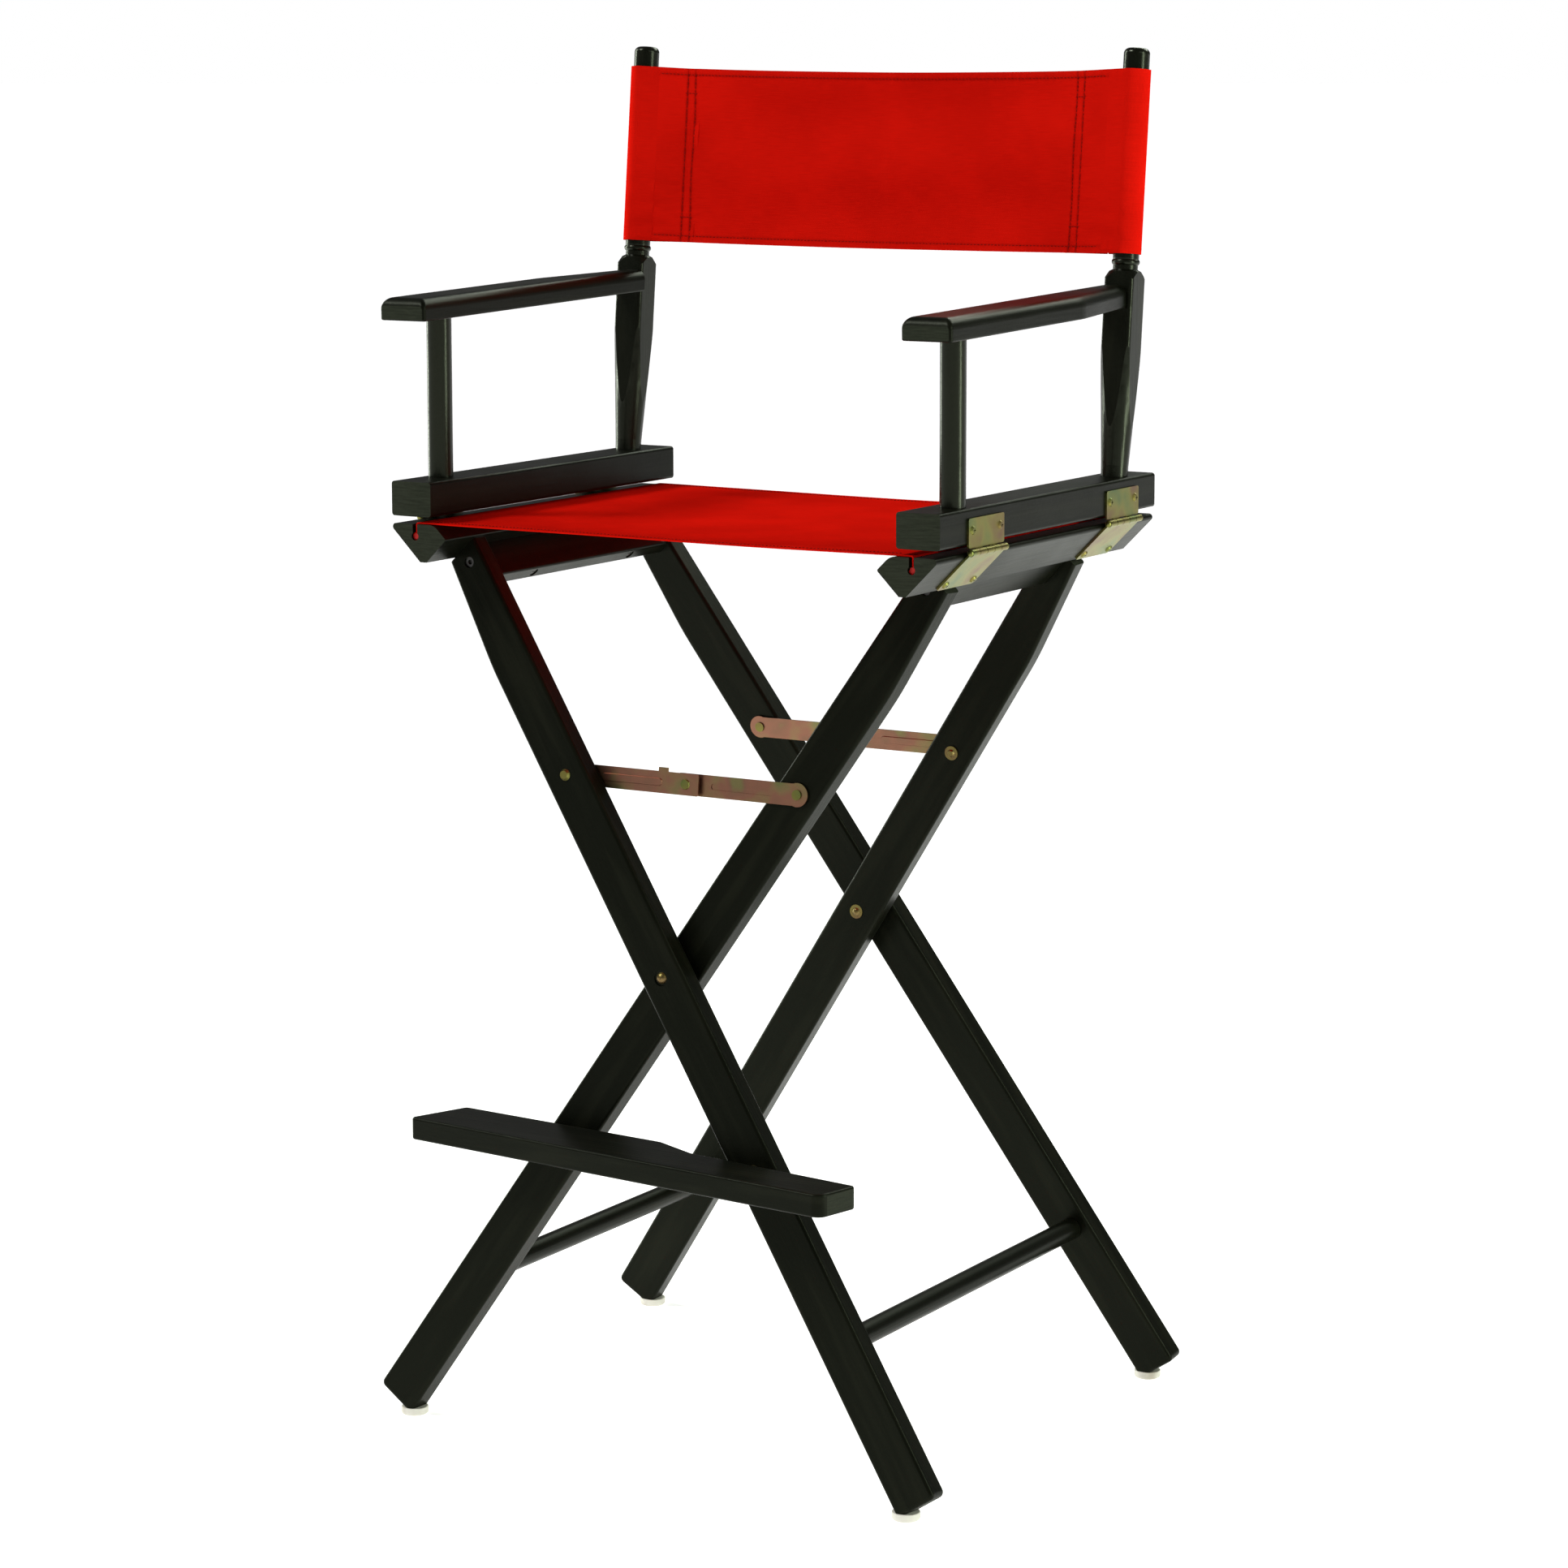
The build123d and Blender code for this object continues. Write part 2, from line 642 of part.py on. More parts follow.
# ------------------------------------------------------------------------------ arms
def build_arm_rail(side):
    """The rail that carries one arm's posts, with a slightly bowed front end."""
    width = arm_x_out - arm_x_in
    middle_x = side * (arm_x_in + arm_x_out) / 2
    front_y, rear_y = legs_middle_y - arm_half_length, legs_middle_y + arm_half_length
    with BuildPart() as rail:
        with BuildSketch(Plane.XY.offset(arm_z_low)):
            with BuildLine():
                left_x, right_x = middle_x - width / 2, middle_x + width / 2
                corner_y = front_y + 1.5
                ThreePointArc((left_x, corner_y), (middle_x, front_y), (right_x, corner_y))
                Polyline((right_x, corner_y), (right_x, rear_y), (left_x, rear_y), (left_x, corner_y))
            make_face()
        extrude(amount=arm_z_high - arm_z_low)
        fillet(rail.edges().filter_by(Axis.Y), 2.6)
        with BuildSketch(Plane.XY.offset(arm_z_high)):
            with Locations((side * front_post_x, legs_middle_y + front_post_y)):
                Circle(tenon_radius + tenon_clearance)
        extrude(amount=-14.0, mode=Mode.SUBTRACT)
        with BuildSketch(rear_post_plane(side, arm_z_high).offset(3.0)):
            Circle(tenon_radius + tenon_clearance)
        extrude(amount=-17.0, mode=Mode.SUBTRACT)
        for plane in upper_screw_planes(side):
            with BuildSketch(plane):
                Circle(screw_shank_radius)
            extrude(amount=-screw_length, mode=Mode.SUBTRACT)
    finish(rail, f"arm_rail_{side_name(side)}")


def rear_post_y(height):
    """The rear post's centre at a height, from the legs' middle."""
    return rear_post_top_y - rear_post_lean * (chair_height - height)


def rear_post_plane(side, height, angle=0.0):
    """A plane square to the leaning rear post, where its axis passes a height."""
    return Plane(
        origin=(side * rear_post_x, legs_middle_y + rear_post_y(height), height),
        x_dir=(1, 0, 0),
        z_dir=(0, rear_post_lean, 1),
    ).rotated((0, 0, angle))


def build_front_post(side):
    """The upright dowel under the front of an armrest, tenoned at both ends."""
    y = legs_middle_y + front_post_y
    top_z = armrest_low_z + armrest_rise * (front_post_y - armrest_front_y) - 0.3
    with BuildPart() as post:
        with BuildSketch(Plane.XY.offset(arm_z_high)):
            with Locations((side * front_post_x, y)):
                Circle(post_radius)
        extrude(amount=top_z - arm_z_high)
        with BuildSketch(Plane.XY.offset(arm_z_high - 13.0)):
            with Locations((side * front_post_x, y)):
                Circle(tenon_radius)
        extrude(amount=top_z - arm_z_high + 13.0 + 11.0)
    finish(post, f"front_post_{side_name(side)}")


def build_rear_post(side):
    """The leaning rear post: round below, square at the armrest, turned to a dowel for the back."""
    stretch = hypot(1.0, rear_post_lean)
    base = rear_post_plane(side, arm_z_high - 3.0)

    def above(height):
        return (height - arm_z_high + 3.0) * stretch

    with BuildPart() as post:
        with BuildSketch(base):
            RectangleRounded(square_side, square_side, 4.0)
        extrude(amount=above(971.0))
        with BuildSketch(Plane(origin=base.origin, x_dir=base.x_dir, z_dir=Vector(0, -1, rear_post_lean))):
            with BuildLine():
                Polyline(
                    (0, 0),
                    (11.25, 0),
                    (11.6, above(808.0)),
                    (19.2, above(938.0)),
                    (19.2, above(960.5)),
                    (13.4, above(969.5)),
                    (10.5, above(971.0)),
                    (0, above(971.0)),
                    close=True,
                )
            make_face()
        revolve(axis=Axis(base.origin, base.z_dir), mode=Mode.INTERSECT)
        with BuildSketch(Plane(origin=base.origin, x_dir=base.x_dir, z_dir=Vector(0, -1, rear_post_lean))):
            with BuildLine():
                Polyline((0, above(968.0)), (10.5, above(968.0)), (10.5, above(974.6)))
                ThreePointArc(
                    (10.5, above(974.6)),
                    (collar_radius + 0.4, above(977.0)),
                    (10.9, above(979.4)),
                )
                Polyline(
                    (10.9, above(979.4)),
                    (dowel_radius, above(980.5)),
                    (dowel_radius, above(chair_height - 5.5)),
                )
                ThreePointArc(
                    (dowel_radius, above(chair_height - 5.5)),
                    (dowel_radius - 1.5, above(chair_height - 2.0)),
                    (dowel_radius - 5.0, above(chair_height - 0.6)),
                )
                Polyline(
                    (dowel_radius - 5.0, above(chair_height - 0.6)),
                    (0, above(chair_height - 0.6)),
                    (0, above(968.0)),
                )
            make_face()
        revolve(axis=Axis(base.origin, base.z_dir))
        split(bisect_by=Plane.XY.offset(arm_z_high), keep=Keep.TOP)
        with BuildSketch(rear_post_plane(side, arm_z_high).offset(1.0)):
            Circle(tenon_radius)
        extrude(amount=-14.0)
        tenon_z = armrest_low_z + armrest_thickness / 2 + armrest_rise * (149.0 - armrest_front_y)
        drill([(side * 243.0, tenon_z)], 5.1, legs_middle_y + 130.0, legs_middle_y + 162.0)
    finish(post, f"rear_post_{side_name(side)}")


def build_armrest(side):
    """The flat armrest: square in front, tapering behind to butt against the rear post."""
    front_y = legs_middle_y + armrest_front_y
    taper_y = legs_middle_y + 38.0
    rear_y = legs_middle_y + 152.0
    post_face = Plane(
        origin=(0, legs_middle_y + rear_post_y(945.0) - 0.1 - square_side / 2, 945.0),
        x_dir=(1, 0, 0),
        z_dir=(0, 1, -rear_post_lean),
    )
    rear_x = 250.5
    points = [
        (side * armrest_x_in, front_y),
        (side * armrest_x_out, front_y),
        (side * armrest_x_out, taper_y),
        (side * rear_x, rear_y),
        (side * armrest_x_in, rear_y),
    ]
    plane = Plane(
        origin=(0, front_y, armrest_low_z), x_dir=(1, 0, 0), z_dir=(0, -armrest_rise, 1)
    )
    flat = [(x, y - front_y) for x, y in points]
    with BuildPart() as armrest:
        with BuildSketch(plane):
            make_face(outline(flat, [3.0, 3.0, 60.0, 0, 0]).edges())
        extrude(amount=armrest_thickness)
        front_top = armrest.edges().group_by(Axis.Y)[0].sort_by(Axis.Z)[-1]
        fillet(front_top, 9.0)
        sides = armrest.faces().filter_by(lambda face: abs(face.normal_at().Z) > 0.9)
        lower_rim = sides.sort_by(Axis.Z)[0].outer_wire().edges()
        fillet(lower_rim.filter_by(lambda edge: edge.center().Y < rear_y - 1), 1.6)
        split(bisect_by=post_face, keep=Keep.BOTTOM)
        with BuildSketch(Plane.XY.offset(armrest_low_z - 5)):
            with Locations((side * front_post_x, legs_middle_y + front_post_y)):
                Circle(tenon_radius + tenon_clearance)
        extrude(amount=17.5, mode=Mode.SUBTRACT)
        tenon_z = armrest_low_z + armrest_thickness / 2 + armrest_rise * (149.0 - armrest_front_y)
        rod_along_y(side * 243.0, tenon_z, 5.0, rear_y - 8, rear_y + 9)
    finish(armrest, f"armrest_{side_name(side)}")


# ------------------------------------------------------------------------------ footrest
def build_footrest():
    """The footrest board: its front edge runs slightly askew, and a step clears the crossing legs."""
    y = legs_middle_y
    points = [
        (-227.0, y - 221.0),
        (-206.0, y - 167.0),
        (0.0, y - 185.0),
        (41.0, y - 204.0),
        (208.0, y - 227.0),
        (198.0, y - 268.0),
    ]
    pivot_x, pivot_z = footrest_pivot()
    with BuildPart() as board:
        with BuildSketch(Plane.XY.offset(footrest_low_z)):
            make_face(outline(points, [4.0, 5.0, 8.0, 8.0, 4.0, 10.0]).edges())
        extrude(amount=footrest_high_z - footrest_low_z)
        rims = board.edges().filter_by(Plane.XY)
        fillet(rims, 2.0)
        drill([(pivot_x, pivot_z)], bolt_radius + running_gap, y - 190, y - 222)
        # the groove that slides along the rest pin
        with BuildSketch(Plane.XY.offset(pivot_z - 4.0)):
            with BuildLine():
                Polyline(
                    (-190.0, y - 150.0),
                    (-190.0, y - 181.0),
                    (60.0, y - 203.0),
                    (60.0, y - 150.0),
                    close=True,
                )
            make_face()
        extrude(amount=8.0, mode=Mode.SUBTRACT)
    finish(board, "footrest_board")


def build_footrest_bolt():
    """The bolt through the outer front leg that the footrest turns on, with a spacer."""
    x, z = footrest_pivot()
    face_front = legs_middle_y - face_y_at(outer_face_y, z)
    face_back = face_front + leg_thickness * slant
    with BuildPart() as bolt:
        rod_along_y(x, z, bolt_radius, face_back + 0.6, legs_middle_y - 221.0)
        rod_along_y(x, z, 5.0, face_back + 0.6, face_back + 3.2)
        rod_along_y(x, z, 6.0, face_front - 0.7, legs_middle_y - 210.2)
    finish(bolt, "footrest_bolt")


def build_rest_pin():
    """The pin on the inner front leg that the footrest's groove slides along."""
    x, z = footrest_pivot()
    face_front = legs_middle_y - face_y_at(inner_face_y, z)
    with BuildPart() as pin:
        rod_along_y(-x, z, bolt_radius, face_front + 17.0, legs_middle_y - 181.0)
    finish(pin, "rest_pin")


# ------------------------------------------------------------------------------ canvas
def build_seat_rod(side):
    """The rod in the hem that stops the seat canvas pulling out of its slot."""
    y_low, y_high = legs_middle_y - seat_half_depth, legs_middle_y + seat_half_depth
    with BuildPart() as rod:
        rod_along_y(side * slot_x, slot_z, seat_rod_radius, y_low, y_high)
    finish(rod, f"seat_rod_{side_name(side)}")


def build_seat_canvas():
    """The seat: a sheet that leaves one rail's slot, crosses with a slight sag and enters the other."""
    low_z = rail_top_z + 0.3
    high_z = low_z + canvas
    end_z = slot_z + 3.8
    flat_x = 205.0
    outer_x = slot_x + canvas / 2
    inner_x = outer_x - canvas
    with BuildPart() as seat:
        with BuildSketch(along_y_plane(legs_middle_y + seat_half_depth)):
            with BuildLine():
                ThreePointArc((-flat_x, high_z), (0, high_z - seat_sag), (flat_x, high_z))
                ThreePointArc((-flat_x, low_z), (0, low_z - seat_sag), (flat_x, low_z))
                for side in (LEFT, RIGHT):
                    Polyline(
                        (side * flat_x, high_z),
                        (side * outer_x, high_z),
                        (side * outer_x, end_z),
                        (side * inner_x, end_z),
                        (side * inner_x, low_z),
                        (side * flat_x, low_z),
                    )
            make_face()
        extrude(amount=2 * seat_half_depth)
    finish(seat, "seat_canvas")


def build_back_canvas():
    """The back: a panel with a flat sleeve round each post's dowel."""
    stretch = hypot(1.0, rear_post_lean)
    plane = rear_post_plane(0, back_low_z)
    inner, outer = dowel_radius + 0.4, dowel_radius + 0.4 + canvas
    with BuildPart() as back:
        with BuildSketch(plane):
            for side in (LEFT, RIGHT):
                with Locations((side * rear_post_x, 0)):
                    Circle(outer)
                with BuildLine():
                    Polyline(
                        (side * (rear_post_x - 2), outer - 0.1),
                        (side * back_stitch_x, canvas),
                        (side * back_stitch_x, -canvas),
                        (side * (rear_post_x - 2), -outer + 0.1),
                        close=True,
                    )
                make_face()
            Rectangle(2 * back_stitch_x, 2 * canvas)
        extrude(amount=(back_high_z - back_low_z) * stretch)
        with BuildSketch(plane.offset(-1)):
            for side in (LEFT, RIGHT):
                with Locations((side * rear_post_x, 0)):
                    Circle(inner)
                with BuildLine():
                    Polyline(
                        (side * (rear_post_x - 2), inner - 0.1),
                        (side * (back_stitch_x + 6), 0.3),
                        (side * (back_stitch_x + 6), -0.3),
                        (side * (rear_post_x - 2), -inner + 0.1),
                        close=True,
                    )
                make_face()
        extrude(amount=(back_high_z - back_low_z) * stretch + 2, mode=Mode.SUBTRACT)
    finish(back, "back_canvas")


# ------------------------------------------------------------------------------ the whole chair
for end in (FRONT, REAR):
    build_leg(f"outer_leg_{end_name(end)}", RIGHT, end, outer_face_y)
    build_leg(f"inner_leg_{end_name(end)}", LEFT, end, inner_face_y)
    build_middle_rivet(end)
    for side in (LEFT, RIGHT):
        build_link(side, end)
for side in (LEFT, RIGHT):
    build_seat_rail(side)
    build_board(side)
    build_board_screws(side)
    build_leg_bolts(side)
    build_stretcher(side)
    build_glides(side)
    build_brace_rivets(side)
    build_upper_leaves(side)
    build_lower_leaves(side)
    build_hinge_pins(side)
    build_leaf_screws(f"upper_screws_{side_name(side)}", upper_screw_planes(side))
    build_leaf_screws(f"lower_screws_{side_name(side)}", lower_screw_planes(side))
    build_arm_rail(side)
    build_front_post(side)
    build_rear_post(side)
    build_armrest(side)
    build_seat_rod(side)
build_crossing_bolts()
build_crossing_spacers()
build_footrest()
build_footrest_bolt()
build_rest_pin()
build_seat_canvas()
build_back_canvas()
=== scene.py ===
"""Looks of a tall folding director chair: black lacquered wood, red canvas, yellow zinc hardware.

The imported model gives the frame: its posts, rods and rails say where the canvas goes, and the seams' places
are sizes of their own.  The wood and the metal keep the model's own shapes and get their finishes here.  The
canvas seat and back are new sheets with hems, sleeves and modelled stitches.
"""

import json
import logging
import math
from dataclasses import dataclass
from enum import Enum
from typing import Callable, Sequence

import bpy
import numpy as np
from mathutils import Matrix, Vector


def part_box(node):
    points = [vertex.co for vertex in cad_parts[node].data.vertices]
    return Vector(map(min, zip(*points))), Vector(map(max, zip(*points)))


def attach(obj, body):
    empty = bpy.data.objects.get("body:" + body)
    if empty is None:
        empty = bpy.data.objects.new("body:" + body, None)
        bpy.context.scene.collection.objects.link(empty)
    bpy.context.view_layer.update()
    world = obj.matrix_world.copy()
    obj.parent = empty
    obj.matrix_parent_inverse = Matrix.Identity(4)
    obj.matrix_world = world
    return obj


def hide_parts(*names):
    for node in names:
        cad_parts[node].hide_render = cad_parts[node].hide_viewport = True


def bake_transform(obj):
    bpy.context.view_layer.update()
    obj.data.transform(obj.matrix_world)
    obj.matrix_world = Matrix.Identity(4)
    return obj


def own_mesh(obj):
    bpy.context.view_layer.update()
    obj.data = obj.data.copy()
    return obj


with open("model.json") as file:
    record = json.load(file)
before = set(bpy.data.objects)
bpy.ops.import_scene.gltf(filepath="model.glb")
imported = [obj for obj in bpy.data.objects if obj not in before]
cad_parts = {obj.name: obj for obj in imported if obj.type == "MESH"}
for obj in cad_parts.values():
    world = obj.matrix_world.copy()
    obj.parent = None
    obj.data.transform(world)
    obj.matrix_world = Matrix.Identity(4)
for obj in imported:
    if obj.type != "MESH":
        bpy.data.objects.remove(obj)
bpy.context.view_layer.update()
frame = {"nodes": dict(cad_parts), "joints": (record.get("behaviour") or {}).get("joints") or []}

MM = 0.001
FOLD_LIMIT = math.radians(59.0)
THREAD_RADIUS = 0.33 * MM
LOG = logging.getLogger("director_chair")


# ------------------------------------------------------------------------------ shader building
class Socket:
    """A node socket that takes part in arithmetic; every operator adds one Math node."""

    def __init__(self, graph: "Graph", output: bpy.types.NodeSocket) -> None:
        """Wrap an output socket of a graph."""
        self.graph = graph
        self.output = output

    def _math(self, operation: str, *values: "Socket | float") -> "Socket":
        """Add a Math node that works on the values."""
        return self.graph.node("ShaderNodeMath", {"operation": operation}, dict(enumerate(values)))

    def __add__(self, other: "Socket | float") -> "Socket":
        """Sum."""
        return self._math("ADD", self, other)

    def __mul__(self, other: "Socket | float") -> "Socket":
        """Product."""
        return self._math("MULTIPLY", self, other)

    def __sub__(self, other: "Socket | float") -> "Socket":
        """Difference."""
        return self._math("SUBTRACT", self, other)

    def __rsub__(self, other: float) -> "Socket":
        """Difference from a number."""
        return self._math("SUBTRACT", other, self)

    def __pow__(self, other: float) -> "Socket":
        """Power."""
        return self._math("POWER", self, other)

    def sine(self) -> "Socket":
        """Sine of an angle in radians."""
        return self._math("SINE", self)

    __radd__ = __add__
    __rmul__ = __mul__


class Graph:
    """One material's node tree, with a principled shader already in it."""

    def __init__(self, name: str) -> None:
        """Start an empty material called name."""
        self.material = bpy.data.materials.new(name)
        self.material.use_nodes = True
        self.tree = self.material.node_tree
        self.shader = self.tree.nodes["Principled BSDF"]

    def node(
        self,
        kind: str,
        settings: dict[str, object] | None = None,
        inputs: dict[int | str, object] | None = None,
        output: int | str = 0,
    ) -> Socket:
        """Add a node.

        Args:
            kind: the node's type.
            settings: its properties.
            inputs: values or sockets for its inputs, by number or name.
            output: the output to hand back.

        Returns:
            The chosen output, ready for arithmetic.
        """
        made = self.tree.nodes.new(kind)
        for key, value in (settings or {}).items():
            setattr(made, key, value)
        for key, value in (inputs or {}).items():
            self.feed(made.inputs[key], value)
        return Socket(self, made.outputs[output])

    def feed(self, target: bpy.types.NodeSocket, value: object) -> None:
        """Link a socket to target, or set target to a plain value."""
        if isinstance(value, Socket):
            self.tree.links.new(value.output, target)
        else:
            target.default_value = value

    def set(self, **values: object) -> None:
        """Feed the principled shader; an underscore in a name stands for a space."""
        for key, value in values.items():
            self.feed(self.shader.inputs[key.replace("_", " ")], value)

    def object_coordinates(
        self, turn: Sequence[float] = (0, 0, 0), scale: Sequence[float] = (1, 1, 1)
    ) -> Socket:
        """Object coordinates, first turned, then scaled along the turned axes.

        Args:
            turn: the turns about X, Y and Z, in radians.
            scale: how much finer the pattern gets along each turned axis.

        Returns:
            A vector for a texture.
        """
        source = self.node("ShaderNodeTexCoord", output="Object")
        turned = self.node("ShaderNodeMapping", {}, {"Vector": source, "Rotation": tuple(turn)})
        return self.node("ShaderNodeMapping", {}, {"Vector": turned, "Scale": tuple(scale)})

    def noise(self, vector: Socket, scale: float, detail: float = 3.0, rough: float = 0.5) -> Socket:
        """Fractal noise from 0 to 1.

        Args:
            vector: where it is looked up.
            scale: features per metre.
            detail: the number of finer layers.
            rough: how strong each finer layer is against the one before.

        Returns:
            The noise's value.
        """
        values = {"Vector": vector, "Scale": scale, "Detail": detail, "Roughness": rough}
        return self.node("ShaderNodeTexNoise", {}, values)

    def ramp(self, value: Socket, stops: Sequence[tuple[float, Sequence[float]]]) -> Socket:
        """A colour ramp over value, with (position, colour) stops."""
        colour = self.node("ShaderNodeValToRGB", {}, {0: value})
        elements = colour.output.node.color_ramp.elements
        while len(elements) < len(stops):
            elements.new(1.0)
        for element, (position, shade) in zip(elements, stops):
            element.position = position
            element.color = (*shade, 1.0)
        return colour

    def step(self, value: Socket, low: float, high: float) -> Socket:
        """0 below low, 1 above high, smooth between."""
        settings = {"interpolation_type": "SMOOTHSTEP"}
        return self.node("ShaderNodeMapRange", settings, {0: value, 1: low, 2: high})

    def mix(self, share: Socket | float, first: object, second: object) -> Socket:
        """A mix of two colours: first at share 0, second at share 1."""
        colours = [
            value if isinstance(value, Socket) else (*value, 1.0) for value in (first, second)
        ]
        inputs = {0: share, 6: colours[0], 7: colours[1]}
        return self.node("ShaderNodeMix", {"data_type": "RGBA"}, inputs, output=2)

    def bump(self, height: Socket, distance: float, strength: float) -> Socket:
        """A normal from a height; a height of 1 stands for distance metres."""
        inputs = {"Height": height, "Distance": distance, "Strength": strength}
        return self.node("ShaderNodeBump", {}, inputs)


class Grain(Enum):
    """The direction that a piece of wood's grain runs, as turns that bring it onto X."""

    ACROSS = (0.0, 0.0, 0.0)
    DEPTH = (0.0, 0.0, -math.pi / 2)
    UPRIGHT = (0.0, math.pi / 2, 0.0)
    LEG_DOWN_RIGHT = (0.0, -math.radians(56.3), 0.0)
    LEG_DOWN_LEFT = (0.0, math.radians(56.3), 0.0)


@dataclass(frozen=True)
class BlackLacquer:
    """Satin black paint through which the wood's pores and brush marks still show."""

    grain: Grain
    colour: tuple[float, float, float] = (0.0030, 0.0034, 0.0019)
    worn_colour: tuple[float, float, float] = (0.0100, 0.0105, 0.0062)
    end_colour: tuple[float, float, float] = (0.036, 0.042, 0.028)
    roughness: float = 0.34
    shine: float = 0.085

    def material(self) -> bpy.types.Material:
        """Pores are noise drawn out 28 times along the grain; paint gloss varies in soft patches.

        End grain, where the object normal lies along the grain, drinks the paint: it is paler, duller
        and shows the growth rings as lines.
        """
        graph = Graph(f"black_lacquer_{self.grain.name.lower()}")
        along = graph.object_coordinates(self.grain.value, (1.0, 28.0, 28.0))
        plain = graph.object_coordinates()
        pores = graph.noise(along, 16.0, 5.0, 0.62)
        figure = graph.noise(along, 3.2, 2.0)
        patches = graph.noise(plain, 14.0, 3.0)
        dust = graph.step(graph.noise(plain, 900.0, 2.0, 0.7), 0.69, 0.74)
        tone = graph.step(figure, 0.42, 0.72) * 0.45 + dust * 0.35
        facing = graph.node("ShaderNodeTexCoord", output="Normal")
        turned = graph.node("ShaderNodeMapping", {}, {"Vector": facing, "Rotation": self.grain.value})
        lengthways = graph.node("ShaderNodeSeparateXYZ", {}, {0: turned})
        end = graph.step(lengthways * lengthways, 0.90, 0.97)
        rings = graph.noise(graph.object_coordinates(scale=(1.0, 1.0, 12.0)), 60.0, 4.0, 0.7)
        body = graph.mix(tone, self.colour, self.worn_colour)
        graph.set(Base_Color=graph.mix(end * rings, body, self.end_colour))
        graph.set(Roughness=patches * 0.20 + pores * 0.10 + end * 0.2 + (self.roughness - 0.15))
        height = pores * 0.7 + graph.noise(plain, 260.0, 2.0) * 0.22
        graph.set(Normal=graph.bump(height, 0.00035, 0.55))
        graph.set(Specular_IOR_Level=self.shine, Specular_Tint=(0.90, 1.0, 0.74, 1.0))
        return graph.material


@dataclass(frozen=True)
class CottonCanvas:
    """Plain-weave cotton duck, dyed through: fuzzy, dull, slightly uneven in colour."""

    name: str = "red_canvas"
    colour: tuple[float, float, float] = (0.660, 0.0068, 0.0028)
    dark_colour: tuple[float, float, float] = (0.540, 0.0052, 0.0021)
    # painted shade: the colour of the grooves along the seams and hems
    seam_shade_colour: tuple[float, float, float] = (0.200, 0.0024, 0.0012)
    fuzz_colour: tuple[float, float, float] = (0.60, 0.016, 0.008)
    thread_pitch: float = 0.0008

    def material(self) -> bpy.types.Material:
        """Threads over and under: the product of two sine waves, one per direction of the UV map.

        Slubs are noise drawn out along one thread and patches a slow noise of the dye.  A point attribute
        paints shade along the seams and hems, darkening the cloth where the stitched grooves lie.
        """
        graph = Graph(self.name)
        cloth = graph.node("ShaderNodeUVMap", {"uv_map": "cloth"})
        turns = 2 * math.pi / self.thread_pitch
        across = graph.node("ShaderNodeSeparateXYZ", {}, {0: cloth}, "X")
        along = graph.node("ShaderNodeSeparateXYZ", {}, {0: cloth}, "Y")
        weave = (across * turns).sine() * (along * turns).sine()
        drawn_out = graph.node("ShaderNodeMapping", {}, {0: cloth, "Scale": (1.0, 22.0, 1.0)})
        slubs = graph.noise(drawn_out, 60.0, 3.0)
        patches = graph.noise(cloth, 13.0, 3.0)
        fuzz = graph.noise(cloth, 1500.0, 2.0)
        tone = graph.step(patches * 0.6 + slubs * 0.4, 0.35, 0.68)
        body = graph.mix(tone, self.dark_colour, self.colour)
        # painted shade along the seam and hem grooves, from the point attribute that grid_mesh writes
        seam_shade = graph.node("ShaderNodeAttribute", {"attribute_name": "seam_shade"}, output="Fac")
        seam_shaded = graph.mix(seam_shade, body, self.seam_shade_colour)
        graph.set(Base_Color=graph.mix(fuzz * 0.06, seam_shaded, self.fuzz_colour))
        graph.set(Roughness=slubs * 0.08 + 0.80)
        height = weave * 0.35 + slubs * 0.6 + fuzz * 0.4
        graph.set(Normal=graph.bump(height, 0.00022, 0.5))
        graph.set(Specular_IOR_Level=0.0)
        return graph.material


@dataclass(frozen=True)
class ZincPlate:
    """Yellow passivated zinc on pressed steel: the film's thickness makes clouds of colour."""

    name: str
    film: tuple[tuple[float, float, float], ...]
    scratch_colour: tuple[float, float, float] = (0.10, 0.09, 0.045)
    roughness: float = 0.33

    def material(self) -> bpy.types.Material:
        """A slow noise picks the colour of the passivation film, a fine one its scratches."""
        graph = Graph(self.name)
        plain = graph.object_coordinates()
        clouds = graph.noise(plain, 34.0, 2.0, 0.5)
        fine = graph.noise(graph.object_coordinates((0, 0.6, 0.4), (1.0, 14.0, 14.0)), 240.0, 3.0, 0.6)
        places = np.linspace(0.30, 0.70, len(self.film)).tolist()
        film = graph.ramp(clouds, list(zip(places, self.film)))
        graph.set(Base_Color=graph.mix(fine * 0.25, film, self.scratch_colour), Metallic=1.0)
        graph.set(Roughness=fine * 0.22 + clouds * 0.10 + (self.roughness - 0.12))
        graph.set(Normal=graph.bump(fine, 0.00008, 0.4))
        return graph.material


HINGE_FILM = (
    (0.10, 0.15, 0.050),
    (0.17, 0.19, 0.050),
    (0.22, 0.20, 0.050),
    (0.20, 0.15, 0.050),
    (0.18, 0.10, 0.060),
)
BRACE_FILM = (
    (0.20, 0.20, 0.080),
    (0.28, 0.18, 0.090),
    (0.30, 0.135, 0.090),
    (0.26, 0.13, 0.085),
    (0.22, 0.19, 0.080),
)


@dataclass(frozen=True)
class Moulded:
    """Plain moulded plastic with faint mould marks and grime in soft patches."""

    name: str
    colour: tuple[float, float, float]
    grime: tuple[float, float, float]
    roughness: float = 0.5

    def material(self) -> bpy.types.Material:
        """Grime is a smooth step of slow noise; the surface has a very fine grain."""
        graph = Graph(self.name)
        plain = graph.object_coordinates()
        dirt = graph.step(graph.noise(plain, 45.0, 4.0), 0.48, 0.78)
        graph.set(Base_Color=graph.mix(dirt, self.colour, self.grime))
        graph.set(Roughness=dirt * 0.2 + self.roughness)
        graph.set(Normal=graph.bump(graph.noise(plain, 700.0, 2.0), 0.0001, 0.3))
        return graph.material


